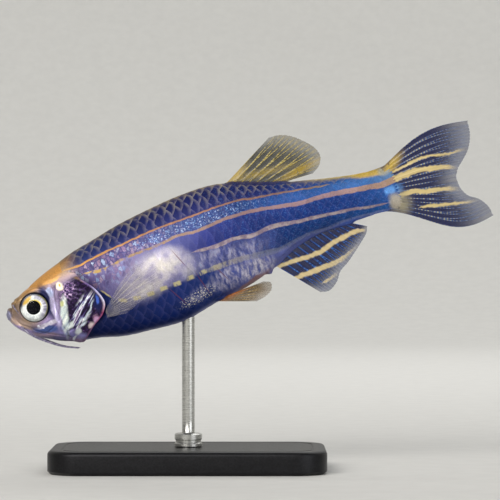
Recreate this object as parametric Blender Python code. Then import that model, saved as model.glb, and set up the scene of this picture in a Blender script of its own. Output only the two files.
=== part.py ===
"""A zebra danio, a striped fish as long as a thumb, held life size on a plain display stand.

The fish is modelled in its own frame: x runs from the snout to the tail, z up, y to its right flank.
Its sizes are given in percent of the standard length, as fishes are measured. An empty then pitches
the whole fish nose down, as it swims, and sets it over the stand.
"""

import math

import bmesh
import bpy
import numpy as np
from mathutils import Vector

# Driving dimensions, in metres
STANDARD_LENGTH = 0.0380            # snout to the end of the tail stem
PITCH = math.radians(18.25)         # the nose points down by this much
GAP = 0.0003                        # left between neighbouring pieces
SNOUT_HEIGHT = 0.01493              # snout above the surface the stand rests on
WEB_THICKNESS = 0.00052             # fin membrane
RAY_THICKNESS = 0.00090             # fin membrane and ray together, at the root
RAY_TAPER = 0.00020                 # how much of that a ray loses on its way to the margin
FORK = 0.42                         # where along a ray it forks in two
RAY_HALF_WIDTH = 0.1                # in shares of the way from one ray to the next
FORK_SPREAD = 0.16                  # how far each branch moves aside, in the same shares
WEB_REACH = 0.975                   # the web stops short of the tips of the rays by the rest
EDGE_THICKNESS = 0.00030            # outer margin of a fin

# Display stand, in metres
ROD_STATION = 42.0                  # where the rod meets the belly, in percent of the standard length
BASE_LENGTH = 0.0260
BASE_WIDTH = 0.0150
BASE_HEIGHT = 0.0022
BASE_CORNER = 0.0030                # radius of the corners seen from above
BASE_EDGE = 0.0004                  # rounding of the upper edge
ROD_RADIUS = 0.0006
COLLAR_RADIUS = 0.0013
COLLAR_HEIGHT = 0.0010

# One percent of the standard length, the unit of every size of the fish below
P = STANDARD_LENGTH / 100
GAP_P = GAP / P
ACROSS = Vector((0, 1, 0))

# Body: station, back, belly, half width, height of the widest point
PROFILE = (
    (-0.4, -0.4, -2.0, 1.2, -1.2),
    (0.4, 0.9, -3.8, 2.0, -1.4),
    (1.8, 2.1, -5.7, 2.8, -1.6),
    (4.2, 3.3, -7.7, 3.7, -1.8),
    (6.8, 4.4, -9.3, 4.4, -2.0),
    (10.5, 6.0, -11.0, 5.2, -2.6),
    (14.7, 7.5, -12.4, 6.0, -3.2),
    (19.7, 9.2, -13.3, 6.6, -3.7),
    (25.5, 10.5, -14.8, 7.1, -3.9),
    (32.4, 12.1, -15.5, 7.6, -3.8),
    (41.1, 13.4, -15.9, 7.9, -3.4),
    (50.0, 14.3, -14.1, 7.5, -2.6),
    (59.5, 14.0, -12.5, 6.4, -1.6),
    (65.8, 12.2, -10.5, 5.4, -0.9),
    (72.6, 9.9, -7.2, 4.5, -0.2),
    (80.0, 8.2, -5.5, 3.7, 0.3),
    (88.2, 6.4, -5.7, 2.8, 0.3),
    (94.7, 5.4, -5.7, 2.2, 0.1),
    (100.0, 5.5, -6.4, 1.3, -0.4),
)

# How full the section is, above and below its widest point: 2 is an ellipse, less is a ridge
FULLNESS = (
    (-0.4, 2.2, 2.0),
    (10.0, 2.3, 2.1),
    (25.0, 2.0, 2.2),
    (45.0, 1.8, 2.3),
    (66.0, 1.8, 1.9),
    (80.0, 1.9, 1.8),
    (100.0, 2.0, 2.0),
)

# Lines that part the body, as stations from the back (0) round to the belly (1)
GILL_LINE = ((0.0, 19.0), (0.25, 18.8), (0.36, 20.2), (0.45, 23.0), (0.53, 24.1), (0.6, 23.0),
             (0.7, 19.8), (0.8, 17.6), (1.0, 15.2))
CHEEK_LINE = ((0.0, 14.5), (0.3, 13.4), (0.45, 12.1), (0.6, 11.9), (0.75, 12.6), (1.0, 14.0))
BELLY_CUT = 48.2
VENT_CUT = 77.1
TAIL_LINE = ((0.0, 99.2), (0.5, 98.3), (1.0, 97.3))
GILL_COVER_TOP = 0.34
GILL_COVER_FOOT = 0.86
GILL_COVER_THICKNESS = 1.6
GILL_COVER_RISE = 0.2
RECESS_OPENING = 1.5                # how far the tool that cuts the recess stands out of the head
COVER_RIM = 0.45                    # height of the ridge down the front of the gill cover
COVER_SEAM = 0.4                    # depth of the groove over its lower bones

# Mouth: its line in side view, which runs on under the cheek as the upper edge of the lower jaw
JAW_CUTTER_HALF_BREADTH = 9.0       # wider than the head
JAW_CUTTER_FRONT = -4.0             # ahead of the snout
JAW_CUTTER_FOOT = -18.0             # under the throat
MOUTH_LINE = ((0.8, 2.6), (0.9, 0.7), (0.95, -0.8), (1.3, -2.4), (2.1, -3.8), (3.6, -5.1), (5.5, -6.7),
              (7.9, -8.2), (10.5, -9.5), (12.9, -10.7), (14.2, -12.1), (14.8, -14.5))

# Eye: its centre in side view, its radius there and half its depth
EYE_CENTRE = (6.95, -1.0)
EYE_RADIUS = 3.6
EYE_HALF_DEPTH = 2.4
EYE_OFFSET = 3.5
ORBIT_RADIUS = 4.5                  # rim of bare skin round the eye, which has no lids
ORBIT_RIM = 0.36

# Lips, from the corners of the mouth up and across the snout, and the nostrils above them
LIP_RADIUS = 0.45
MOUTH_CORNER = -4.3
NOSTRIL = (2.7, 1.75)
NOSTRIL_RADIUS = 0.42
NOSTRIL_RIM = 0.2

# Segments round the body, lengths of those of the trunk, and rings of the head, closer at the snout
AROUND = 32
BODY_STEP = 2.8
HEAD_STEPS = (0.0, 0.03, 0.08, 0.15, 0.24, 0.34, 0.45, 0.56, 0.67, 0.78, 0.89, 1.0)

# Fins: the root, and the margin from the leading ray to the last
DORSAL_ROOT = (61.7, 75.6)
DORSAL_MARGIN = ((75.2, 20.9), (77.8, 20.7), (80.7, 19.4), (83.2, 17.3), (85.4, 14.6), (85.9, 12.4),
                 (84.9, 10.4), (82.8, 9.0))
ANAL_ROOT = (66.9, 88.0)
ANAL_MARGIN = ((75.4, -19.7), (77.4, -20.0), (79.8, -18.7), (81.8, -16.2), (84.2, -14.7),
               (86.8, -12.7), (89.0, -10.9), (91.0, -8.9), (91.5, -7.7))
CAUDAL_UPPER_ROOT = ((100.0, 5.2), (99.6, 2.4), (99.3, -0.3))
CAUDAL_UPPER_MARGIN = ((123.5, 9.4), (122.9, 5.8), (121.2, 2.4), (119.3, 0.5), (117.4, -1.0),
                       (116.4, -2.6))
CAUDAL_LOWER_ROOT = ((98.2, -6.1), (98.6, -3.6), (99.1, -1.15))
CAUDAL_LOWER_MARGIN = ((122.2, -14.9), (121.8, -12.7), (120.2, -10.1), (117.7, -8.2), (116.5, -6.0),
                       (116.3, -3.6))
PECTORAL_ROOT = ((24.9, -5.9), (24.6, -7.4), (23.8, -9.0))
PECTORAL_MARGIN = ((34.5, 1.3), (37.4, 0.7), (39.3, -1.4), (39.3, -4.6), (36.3, -6.7), (32.1, -8.0),
                   (28.7, -9.4))
PELVIC_ROOT = ((50.8, -14.9), (52.0, -14.5), (53.2, -14.1))
PELVIC_MARGIN = ((59.7, -16.8), (62.4, -16.2), (64.2, -14.9), (64.4, -13.5), (62.8, -12.7))

# How far the paired fins stand off the flank or the midline at the root, and how much more at the margin
PECTORAL_STANCE = 0.8
PECTORAL_SPREAD = 2.4
PECTORAL_SHELF = (25.0, -6.0)       # place on the flank that the breast fins lie no closer than
PELVIC_STANCE = 1.9
PELVIC_SPREAD = 2.6

# Barbels: points from the root to the tip, as station, height and distance from the midline
MOUTH_BARBEL = ((2.2, -4.6, 4.1), (3.4, -6.4, 4.0), (4.8, -8.0, 3.6), (7.0, -9.9, 3.1), (10.5, -12.4, 2.5),
                (14.2, -14.1, 2.2))
SNOUT_BARBEL = ((1.3, 1.2, 2.9), (1.9, 0.3, 4.2), (2.9, -1.3, 5.2))
BARBEL_RADIUS = 0.65
BARBEL_TAPER = 0.6                  # how much of its radius a barbel loses on its way to the tip


def smooth(points, column):
    """A smooth function through one column of a table whose first column rises."""
    table = np.array(points, dtype=float)
    stations = table[:, 0]
    values = table[:, column]
    slopes = np.gradient(values, stations)

    def value(station):
        index = int(np.clip(np.searchsorted(stations, station) - 1, 0, len(stations) - 2))
        span = stations[index + 1] - stations[index]
        t = (station - stations[index]) / span
        rise = values[index + 1] - values[index]
        bend = (slopes[index] + slopes[index + 1]) * span - 2 * rise
        return values[index] + t * (slopes[index] * span + t * (3 * rise - slopes[index] * span * 2
                                    - slopes[index + 1] * span + t * bend))

    return value


def smooth_path(points):
    """A smooth curve through points, as a function of the share of its length."""
    table = np.array(points, dtype=float)
    lengths = np.linalg.norm(np.diff(table, axis=0), axis=1)
    shares = np.concatenate(([0.0], np.cumsum(lengths))) / lengths.sum()
    keyed = np.column_stack((shares, table))
    axes = [smooth(keyed, column + 1) for column in range(table.shape[1])]
    return lambda share: np.array([axis(share) for axis in axes])


back = smooth(PROFILE, 1)
belly = smooth(PROFILE, 2)
half_width = smooth(PROFILE, 3)
widest = smooth(PROFILE, 4)
fullness_above = smooth(FULLNESS, 1)
fullness_below = smooth(FULLNESS, 2)
gill_line = smooth(GILL_LINE, 1)
cheek_line = smooth(CHEEK_LINE, 1)
tail_line = smooth(TAIL_LINE, 1)


def body_point(station, share, side, inset=0.0):
    """A point of the body's surface, share of the way from the back down one side to the belly."""
    angle = share * math.pi
    above = share < 0.5
    power = 2 / (fullness_above(station) if above else fullness_below(station))
    middle = widest(station)
    reach = back(station) - inset - middle if above else middle - belly(station) - inset
    height = middle + math.copysign(abs(math.cos(angle)) ** power, math.cos(angle)) * reach
    breadth = abs(math.sin(angle)) ** power * (half_width(station) - inset)
    return Vector((station, side * breadth, height)) * P


def flank(station, height):
    """Half the body's width at a station and a height, in percent."""
    middle = widest(station)
    if height > middle:
        power = fullness_above(station)
        t = (height - middle) / (back(station) - middle)
    else:
        power = fullness_below(station)
        t = (middle - height) / (middle - belly(station))
    return half_width(station) * max(1 - t ** power, 0.0) ** (1 / power)


def new_object(name, mesh, collection, parent=None):
    thing = bpy.data.objects.new(name, mesh)
    collection.objects.link(thing)
    thing.parent = parent
    return thing


def mesh_from(name, points, faces):
    """A closed mesh with its faces pointing out."""
    mesh = bpy.data.meshes.new(name)
    mesh.from_pydata([tuple(point) for point in points], [], faces)
    shape = bmesh.new()
    shape.from_mesh(mesh)
    bmesh.ops.recalc_face_normals(shape, faces=shape.faces)
    shape.to_mesh(mesh)
    shape.free()
    return mesh


def ring_loft(name, rings):
    """A solid through rings that are mirror images across the midline, with ladder-like caps."""
    around = len(rings[0])
    points = [point for ring in rings for point in ring]
    faces = []
    for first in range(0, len(points) - around, around):
        for i in range(around):
            j = (i + 1) % around
            faces.append((first + i, first + j, first + around + j, first + around + i))
    for first in (0, len(points) - around):
        for i in range(around // 2):
            rung = [first + i, first + i + 1, first + around - i - 1, first + (around - i) % around]
            faces.append(tuple(dict.fromkeys(rung)))
    return mesh_from(name, points, faces)


def body_length(name, start, end, steps):
    """A length of the body between two lines, each a function of the share from back to belly."""
    half = AROUND // 2
    places = [(i / half, -1) for i in range(half + 1)] + [(i / half, 1) for i in range(half - 1, 0, -1)]
    rings = []
    for step in steps:
        rings.append([body_point(start(share) + (end(share) - start(share)) * step, share, side)
                      for share, side in places])
    return ring_loft(name, rings)


def even_steps(length):
    count = max(2, round(length / BODY_STEP))
    return [i / count for i in range(count + 1)]


def sheet_solid(name, front, back_sheet):
    """A closed sheet between two grids of points, split into triangles alike on both faces."""
    rows = len(front)
    columns = len(front[0])
    offset = rows * columns
    points = [point for grid in (front, back_sheet) for row in grid for point in row]
    faces = []
    for row in range(rows - 1):
        for column in range(columns - 1):
            a = row * columns + column
            b = a + 1
            c = b + columns
            d = a + columns
            for triangle in ((a, b, c), (a, c, d)):
                faces.append(triangle)
                faces.append(tuple(corner + offset for corner in reversed(triangle)))
    rim = [column for column in range(columns)]
    rim += [row * columns + columns - 1 for row in range(1, rows)]
    rim += [(rows - 1) * columns + column for column in range(columns - 2, -1, -1)]
    rim += [row * columns for row in range(rows - 2, 0, -1)]
    for a, b in zip(rim, rim[1:] + rim[:1]):
        faces.append((a, a + offset, b + offset))
        faces.append((a, b + offset, b))
    return mesh_from(name, points, faces)


def ray_columns(rays, v, forked):
    """Across a fin at a share v of its height: the places of ridges and web, and whether each is ridge.

    A forked ray is a ridge with two edges, which part at the fork and leave web between them.
    """
    spacing = 1 / (rays - 1)
    spread = min(max((v - FORK) / (1 - FORK), 0.0), 1.0)
    arm = spacing * (RAY_HALF_WIDTH + FORK_SPREAD * spread ** 0.8)
    columns = []
    for ray in range(rays):
        centre = ray * spacing
        if forked and 0 < ray < rays - 1:
            columns += [(centre - arm, 1.0), (centre, 1.0 - spread ** 0.5), (centre + arm, 1.0)]
        else:
            columns.append((centre, 1.0))
        columns.append((centre + spacing / 2, 0.0))
    return columns[:-1]


def fin(name, root, margin, place, rays, rows, bow=0.0, bow_skew=1.0, forked=True):
    """A fin as one closed sheet, its rays raised as ridges and reaching past the web between them.

    Place turns a point of the fin's plane into one of the fish. Rows is the number of steps from root to
    margin. Bow is how far the leading ray curves out of a straight line, and bow_skew moves the widest
    part of the curve towards the margin.
    """
    front = []
    rear = []
    for row in range(rows + 1):
        v = row / rows
        front_row = []
        rear_row = []
        for u, ridge in ray_columns(rays, v, forked):
            start = root(u)
            tip = margin(u)
            chord = tip - start
            outward = np.array((-chord[1], chord[0])) / np.linalg.norm(chord)
            bulge = bow * (1 - u) ** 1.5 * math.sin(math.pi * v ** bow_skew)
            reach = v * (WEB_REACH + (1 - WEB_REACH) * ridge)
            station, height = start + chord * reach + outward * bulge
            full = WEB_THICKNESS + (RAY_THICKNESS - RAY_TAPER * v - WEB_THICKNESS) * ridge
            thick = full + (EDGE_THICKNESS - full) * v ** 8
            middle = Vector(place(station, height, v)) * P
            offset = ACROSS * thick / 2
            front_row.append(middle + offset)
            rear_row.append(middle - offset)
        front.append(front_row)
        rear.append(rear_row)
    return sheet_solid(name, front, rear)


def on_midline(station, height, v):
    return (station, 0.0, height)


def section(centre, ahead, across, radius, sides):
    """A ring of points round a centre, square to the way ahead and starting to one side of it."""
    first = (across - ahead * across.dot(ahead) / ahead.length_squared).normalized()
    second = ahead.normalized().cross(first)
    angles = [2 * math.pi * i / sides for i in range(sides)]
    return [centre + (first * math.cos(angle) + second * math.sin(angle)) * radius for angle in angles]


def tube(name, path, radii, across, sides=10):
    """A tapering round strand along a path, with rings square to it."""
    points = []
    for index, centre in enumerate(path):
        ahead = path[min(index + 1, len(path) - 1)] - path[max(index - 1, 0)]
        points += section(centre, ahead, across, radii[index], sides)
    faces = []
    for first in range(0, len(points) - sides, sides):
        for i in range(sides):
            j = (i + 1) % sides
            faces.append((first + i, first + j, first + sides + j, first + sides + i))
    faces.append(tuple(range(sides)))
    faces.append(tuple(range(len(points) - sides, len(points))))
    return mesh_from(name, points, faces)


def ring_tube(name, path, radius, across, sides=6):
    """A closed ring of round section along a closed path."""
    count = len(path)
    points = []
    for index, centre in enumerate(path):
        ahead = path[(index + 1) % count] - path[index - 1]
        points += section(centre, ahead, across, radius, sides)
    faces = []
    for ring in range(count):
        first = ring * sides
        second = (ring + 1) % count * sides
        for i in range(sides):
            j = (i + 1) % sides
            faces.append((first + i, first + j, second + j, second + i))
    return mesh_from(name, points, faces)


def ellipsoid(name, centre, radii, segments=20, rings=12):
    shape = bmesh.new()
    bmesh.ops.create_uvsphere(shape, u_segments=segments, v_segments=rings, radius=1.0)
    for vertex in shape.verts:
        x, y, z = vertex.co
        vertex.co = Vector((x * radii[0], z * radii[1], -y * radii[2])) + centre
    mesh = bpy.data.meshes.new(name)
    shape.to_mesh(mesh)
    shape.free()
    return mesh


def outline_prism(name, outline, half_breadth):
    """A flat outline of stations and heights, spread across the fish."""
    count = len(outline)
    points = [Vector((station, side * half_breadth, height)) * P
              for side in (-1, 1) for station, height in outline]
    faces = [tuple(range(count)), tuple(range(2 * count - 1, count - 1, -1))]
    for i in range(count):
        j = (i + 1) % count
        faces.append((i, j, j + count, i + count))
    return mesh_from(name, points, faces)


def apply_modifiers(thing):
    evaluated = thing.evaluated_get(bpy.context.evaluated_depsgraph_get())
    mesh = bpy.data.meshes.new_from_object(evaluated)
    thing.modifiers.clear()
    thing.data = mesh


def keep_largest(thing):
    """Drop every loose scrap but the piece with the most faces."""
    shape = bmesh.new()
    shape.from_mesh(thing.data)
    unseen = set(shape.faces)
    pieces = []
    while unseen:
        stack = [unseen.pop()]
        piece = []
        while stack:
            face = stack.pop()
            piece.append(face)
            for edge in face.edges:
                for other in edge.link_faces:
                    if other in unseen:
                        unseen.remove(other)
                        stack.append(other)
        pieces.append(piece)
    pieces.sort(key=len, reverse=True)
    scraps = [face for piece in pieces[1:] for face in piece]
    bmesh.ops.delete(shape, geom=scraps, context="FACES")
    shape.to_mesh(thing.data)
    shape.free()


def combine(thing, operation, meshes):
    """Join meshes to an object, cut them from it or keep what it shares with them."""
    tools = bpy.data.collections.new("cutters")
    bpy.context.scene.collection.children.link(tools)
    for number, mesh in enumerate(meshes):
        cutter = new_object(f"cutter_{number}", mesh, tools, thing.parent)
        cutter.hide_render = True
        cutter.display_type = "WIRE"
    modifier = thing.modifiers.new(operation.lower(), "BOOLEAN")
    modifier.operation = operation
    modifier.operand_type = "COLLECTION"
    modifier.collection = tools
    modifier.solver = "EXACT"
    bpy.context.view_layer.update()
    apply_modifiers(thing)
    for cutter in list(tools.objects):
        bpy.data.objects.remove(cutter)
    bpy.data.collections.remove(tools)
    keep_largest(thing)


def paint(thing, name, colour, roughness, metallic=0.0):
    material = bpy.data.materials.get(name) or bpy.data.materials.new(name)
    material.use_nodes = True
    shader = material.node_tree.nodes["Principled BSDF"]
    shader.inputs["Base Color"].default_value = (*colour, 1)
    shader.inputs["Roughness"].default_value = roughness
    shader.inputs["Metallic"].default_value = metallic
    thing.data.materials.clear()
    thing.data.materials.append(material)
    thing.data.shade_smooth()
    thing.data.set_sharp_from_angle(angle=math.radians(35))


def mouth_edge(shift):
    """The mouth line moved square to itself, towards the head when shift is positive."""
    path = smooth_path(MOUTH_LINE)
    count = 26
    places = [path(i / (count - 1)) for i in range(count)]
    edge = []
    for i, place in enumerate(places):
        ahead = places[min(i + 1, count - 1)] - places[max(i - 1, 0)]
        square = np.array((-ahead[1], ahead[0])) / np.linalg.norm(ahead)
        edge.append(tuple(place + square * shift))
    return edge


def lip(name, shift, radius):
    """A lip from one corner of the mouth over the snout to the other, on the skin beside the gap."""
    past_corner = 1.5
    edge = np.array([place for place in mouth_edge(shift) if place[1] > MOUTH_CORNER - past_corner])

    def station_at(height):
        return float(np.interp(height, edge[::-1, 1], edge[::-1, 0]))

    top = 1.0
    for _ in range(6):
        top = back(station_at(top)) - radius / 3
    count = 21
    path = []
    radii = []
    for i in range(count):
        angle = math.pi * (i / (count - 1) - 0.5)
        height = MOUTH_CORNER + (top - MOUTH_CORNER) * math.cos(angle)
        station = station_at(height)
        breadth = flank(station, height) - radius / 4
        path.append(Vector((station, math.copysign(max(breadth, 0), angle), height)) * P)
        radii.append(radius * P * (0.55 + 0.45 * math.cos(angle)))
    path[count // 2].y = 0
    return tube(name, path, radii, Vector((1, 0, 0)), 8)


def skin_point(station, height, side):
    """A point of the skin given in side view, and the direction square to the skin there."""
    step = 0.05
    along = (flank(station + step, height) - flank(station - step, height)) / (2 * step)
    upward = (flank(station, height + step) - flank(station, height - step)) / (2 * step)
    place = Vector((station, side * flank(station, height), height)) * P
    return place, Vector((-along, side, -upward)).normalized()


def orbit_rim(side):
    """The low rim of skin round an eye, lying on the head."""
    count = 28
    path = []
    for i in range(count):
        angle = 2 * math.pi * i / count
        station = EYE_CENTRE[0] + ORBIT_RADIUS * math.cos(angle)
        height = EYE_CENTRE[1] + ORBIT_RADIUS * math.sin(angle)
        path.append(Vector((station, side * flank(station, height), height)) * P)
    return ring_tube("orbit_rim", path, ORBIT_RIM * P, ACROSS)


def nostril_rim(side):
    place, normal = skin_point(*NOSTRIL, side)
    turn = normal.to_track_quat("Z", "Y")
    reach = (NOSTRIL_RADIUS + NOSTRIL_RIM / 2) * P
    count = 10
    path = []
    for i in range(count):
        angle = 2 * math.pi * i / count
        path.append(place + turn @ Vector((math.cos(angle), math.sin(angle), 0)) * reach)
    return ring_tube("nostril_rim", path, NOSTRIL_RIM * P, normal)


def nostril_pit(side):
    place, normal = skin_point(*NOSTRIL, side)
    radius = NOSTRIL_RADIUS * P
    return ellipsoid("nostril_pit", place + normal * radius * 0.1, (radius, radius, radius), 10, 6)


def jaw_space(shift):
    """Outline of all that lies before and under the mouth line."""
    edge = mouth_edge(shift)
    return edge + [(edge[-1][0], JAW_CUTTER_FOOT), (JAW_CUTTER_FRONT, JAW_CUTTER_FOOT),
                   (JAW_CUTTER_FRONT, edge[0][1])]


def cover_relief(across, down):
    """Height of the gill cover's bones: a ridge down its front and a slanting seam near its foot."""
    ridge_place, ridge_width = 0.14, 0.1
    seam_front, seam_climb, seam_width = 0.8, 0.28, 0.07
    ridge = COVER_RIM * math.exp(-((across - ridge_place) / ridge_width) ** 2)
    seam = COVER_SEAM * math.exp(-((down - seam_front + seam_climb * across) / seam_width) ** 2)
    return ridge - seam * min(1.0, across * 3)


def gill_patch(name, side, outer, inner, grow, relief=None):
    """The shell of one gill cover, or with its edges grown, the recess that takes it.

    Outer and inner are the depths of its two faces under the skin.
    """
    half_girth = 30.0
    top = GILL_COVER_TOP - grow / half_girth
    foot = GILL_COVER_FOOT + grow / half_girth
    rows = 16
    columns = 10
    sheets = []
    for inset in (outer, inner):
        sheet = []
        for row in range(rows + 1):
            share = top + (foot - top) * row / rows
            start = cheek_line(share) - grow
            end = gill_line(share) + grow
            points = []
            for i in range(columns + 1):
                raised = relief(i / columns, row / rows) if relief and inset == outer else 0.0
                station = start + (end - start) * i / columns
                points.append(body_point(station, share, side, inset - raised))
            sheet.append(points)
        sheets.append(sheet)
    return sheet_solid(name, *sheets)


def snout_line(share):
    return PROFILE[0][0]


def make_head(parts, fish):
    """The head from the snout to the gill opening, with the eye sockets and the gill recesses."""
    head = new_object("head", body_length("head", snout_line, gill_line, HEAD_STEPS), parts, fish)
    jaw = outline_prism("jaw_space", jaw_space(GAP_P / 2), JAW_CUTTER_HALF_BREADTH)
    combine(head, "DIFFERENCE", [jaw])
    raised = [lip("upper_lip", GAP_P / 2 + LIP_RADIUS, LIP_RADIUS)]
    raised += [rim(side) for side in (-1, 1) for rim in (orbit_rim, nostril_rim)]
    combine(head, "UNION", raised)
    cuts = [nostril_pit(side) for side in (-1, 1)]
    for side in (-1, 1):
        socket = (EYE_RADIUS + GAP_P, EYE_HALF_DEPTH + GAP_P, EYE_RADIUS + GAP_P)
        centre = Vector((EYE_CENTRE[0], side * EYE_OFFSET, EYE_CENTRE[1])) * P
        cuts.append(ellipsoid("socket", centre, [radius * P for radius in socket]))
        cuts.append(gill_patch("gill_recess", side, -RECESS_OPENING, GILL_COVER_THICKNESS + GAP_P, GAP_P))
    combine(head, "DIFFERENCE", cuts)
    paint(head, "warm_brown_head", (0.45, 0.26, 0.10), 0.35)


def make_lower_jaw(parts, fish):
    jaw = new_object("lower_jaw", body_length("lower_jaw", snout_line, gill_line, HEAD_STEPS), parts, fish)
    shape = outline_prism("jaw_shape", jaw_space(-GAP_P / 2), JAW_CUTTER_HALF_BREADTH)
    combine(jaw, "INTERSECT", [shape])
    combine(jaw, "UNION", [lip("lower_lip", -GAP_P / 2 - LIP_RADIUS, LIP_RADIUS)])
    paint(jaw, "mauve_jaw", (0.20, 0.16, 0.34), 0.35)


def make_gill_cover(parts, fish, word, side):
    mesh = gill_patch(f"gill_cover_{word}", side, -GILL_COVER_RISE, GILL_COVER_THICKNESS, 0.0,
                      cover_relief)
    cover = new_object(f"gill_cover_{word}", mesh, parts, fish)
    paint(cover, "silver_gill_cover", (0.42, 0.45, 0.48), 0.25)


def make_eye(parts, fish, word, side):
    centre = Vector((EYE_CENTRE[0], side * EYE_OFFSET, EYE_CENTRE[1])) * P
    radii = (EYE_RADIUS * P, EYE_HALF_DEPTH * P, EYE_RADIUS * P)
    eye = new_object(f"eye_{word}", ellipsoid(f"eye_{word}", centre, radii), parts, fish)
    paint(eye, "silver_iris", (0.75, 0.77, 0.72), 0.15)


def make_trunk(parts, fish):
    """The body behind the gills, in three lengths parted by thin cuts.

    Each has a name, its front and rear lines and about how long it is.
    """
    lengths = (
        ("shoulder_and_belly", lambda share: gill_line(share) + 1.2 * GAP_P, lambda share: BELLY_CUT, 26),
        ("mid_body", lambda share: BELLY_CUT + GAP_P, lambda share: VENT_CUT, 28),
        ("tail_stem", lambda share: VENT_CUT + GAP_P, tail_line, 21),
    )
    for name, start, end, span in lengths:
        length = new_object(name, body_length(name, start, end, even_steps(span)), parts, fish)
        paint(length, "blue_scaled_skin", (0.03, 0.08, 0.32), 0.3)


def make_median_fins(parts, fish):
    def dorsal_root(u):
        station = DORSAL_ROOT[0] + (DORSAL_ROOT[1] - DORSAL_ROOT[0]) * u
        return np.array((station, back(station) + GAP_P))

    def anal_root(u):
        station = ANAL_ROOT[0] + (ANAL_ROOT[1] - ANAL_ROOT[0]) * u
        return np.array((station, belly(station) - GAP_P))

    fins = (
        fin("dorsal_fin", dorsal_root, smooth_path(DORSAL_MARGIN), on_midline, rays=9, rows=8),
        fin("anal_fin", anal_root, smooth_path(ANAL_MARGIN), on_midline, rays=14, rows=7),
        fin("caudal_fin_upper", smooth_path(CAUDAL_UPPER_ROOT), smooth_path(CAUDAL_UPPER_MARGIN),
            on_midline, rays=10, rows=10, bow=2.6, bow_skew=1.1),
        fin("caudal_fin_lower", smooth_path(CAUDAL_LOWER_ROOT), smooth_path(CAUDAL_LOWER_MARGIN),
            on_midline, rays=9, rows=10, bow=-3.3, bow_skew=1.6),
    )
    for mesh in fins:
        thing = new_object(mesh.name, mesh, parts, fish)
        paint(thing, "yellow_banded_fin", (0.35, 0.27, 0.08), 0.35)


def make_paired_fins(parts, fish, word, side):
    """Breast fins laid back along the flanks and belly fins hanging clear of the belly."""

    def by_flank(station, height, v):
        lowest = PECTORAL_ROOT[-1][1]
        rest = max(flank(station, max(height, lowest)), flank(*PECTORAL_SHELF))
        return (station, side * (rest + GAP_P + PECTORAL_STANCE + PECTORAL_SPREAD * v ** 1.3), height)

    def by_belly(station, height, v):
        return (station, side * (PELVIC_STANCE + PELVIC_SPREAD * v), height)

    breast = fin(f"pectoral_fin_{word}", smooth_path(PECTORAL_ROOT), smooth_path(PECTORAL_MARGIN),
                 by_flank, rays=10, rows=8, bow=0.5, forked=False)
    hip = fin(f"pelvic_fin_{word}", smooth_path(PELVIC_ROOT), smooth_path(PELVIC_MARGIN),
              by_belly, rays=7, rows=7, forked=False)
    for mesh in (breast, hip):
        thing = new_object(mesh.name, mesh, parts, fish)
        paint(thing, "amber_fin", (0.40, 0.30, 0.18), 0.4)


def make_barbels(parts, fish, word, side):
    for name, points in (("mouth_barbel", MOUTH_BARBEL), ("snout_barbel", SNOUT_BARBEL)):
        route = smooth_path(points)
        count = 3 * len(points)
        path = []
        for i in range(count):
            station, height, breadth = route(i / (count - 1))
            path.append(Vector((station, side * breadth, height)) * P)
        radii = [BARBEL_RADIUS * P * (1 - BARBEL_TAPER * i / (count - 1)) for i in range(count)]
        mesh = tube(f"{name}_{word}", path, radii, ACROSS)
        barbel = new_object(mesh.name, mesh, parts, fish)
        paint(barbel, "mauve_barbel", (0.16, 0.14, 0.30), 0.4)


def make_stand(parts, foot, top):
    """A flat base with one rod at the place foot, whose upper end follows the belly."""
    shape = bmesh.new()
    bmesh.ops.create_cube(shape, size=1.0)
    bmesh.ops.scale(shape, vec=(BASE_LENGTH, BASE_WIDTH, BASE_HEIGHT), verts=shape.verts)
    upright = [edge for edge in shape.edges
               if abs(edge.verts[0].co.z - edge.verts[1].co.z) > BASE_HEIGHT / 2]
    bmesh.ops.bevel(shape, geom=upright, offset=BASE_CORNER, segments=6, profile=0.5, affect="EDGES")
    upper = [edge for edge in shape.edges
             if all(vertex.co.z > BASE_HEIGHT / 2 - 1e-6 for vertex in edge.verts)
             and len(edge.link_faces) == 2
             and any(abs(face.normal.z) < 0.5 for face in edge.link_faces)]
    bmesh.ops.bevel(shape, geom=upper, offset=BASE_EDGE, segments=2, profile=0.5, affect="EDGES")
    mesh = bpy.data.meshes.new("stand_base")
    shape.to_mesh(mesh)
    shape.free()
    base = new_object("stand_base", mesh, parts)
    base.location = (foot, 0, BASE_HEIGHT / 2)
    paint(base, "black_satin_base", (0.02, 0.02, 0.022), 0.45, 0.6)

    sides = 20
    levels = ((BASE_HEIGHT + GAP, COLLAR_RADIUS), (BASE_HEIGHT + GAP + COLLAR_HEIGHT, COLLAR_RADIUS),
              (BASE_HEIGHT + GAP + COLLAR_HEIGHT, ROD_RADIUS))
    points = []
    for height, radius in levels:
        points += [Vector((radius * math.cos(2 * math.pi * i / sides),
                           radius * math.sin(2 * math.pi * i / sides), height)) for i in range(sides)]
    for i in range(sides):
        angle = 2 * math.pi * i / sides
        x = ROD_RADIUS * math.cos(angle)
        points.append(Vector((x, ROD_RADIUS * math.sin(angle), top(foot + x))))
    faces = [tuple(range(sides)), tuple(range(3 * sides, 4 * sides))]
    for first in range(0, 3 * sides, sides):
        for i in range(sides):
            j = (i + 1) % sides
            faces.append((first + i, first + j, first + sides + j, first + sides + i))
    rod = new_object("stand_rod", mesh_from("stand_rod", points, faces), parts)
    rod.location.x = foot
    paint(rod, "steel_rod", (0.55, 0.55, 0.56), 0.25, 1.0)


def belly_underside(snout_x):
    """Height of the belly's underside over a point of the stand, less the gap that is kept."""
    def height(x):
        station = (x - snout_x) / (P * math.cos(PITCH))
        for _ in range(8):
            station = ((x - snout_x) / P + belly(station) * math.sin(PITCH)) / math.cos(PITCH)
        along = station * math.sin(PITCH) + belly(station) * math.cos(PITCH)
        return SNOUT_HEIGHT + along * P - GAP / math.cos(PITCH)
    return height


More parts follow.
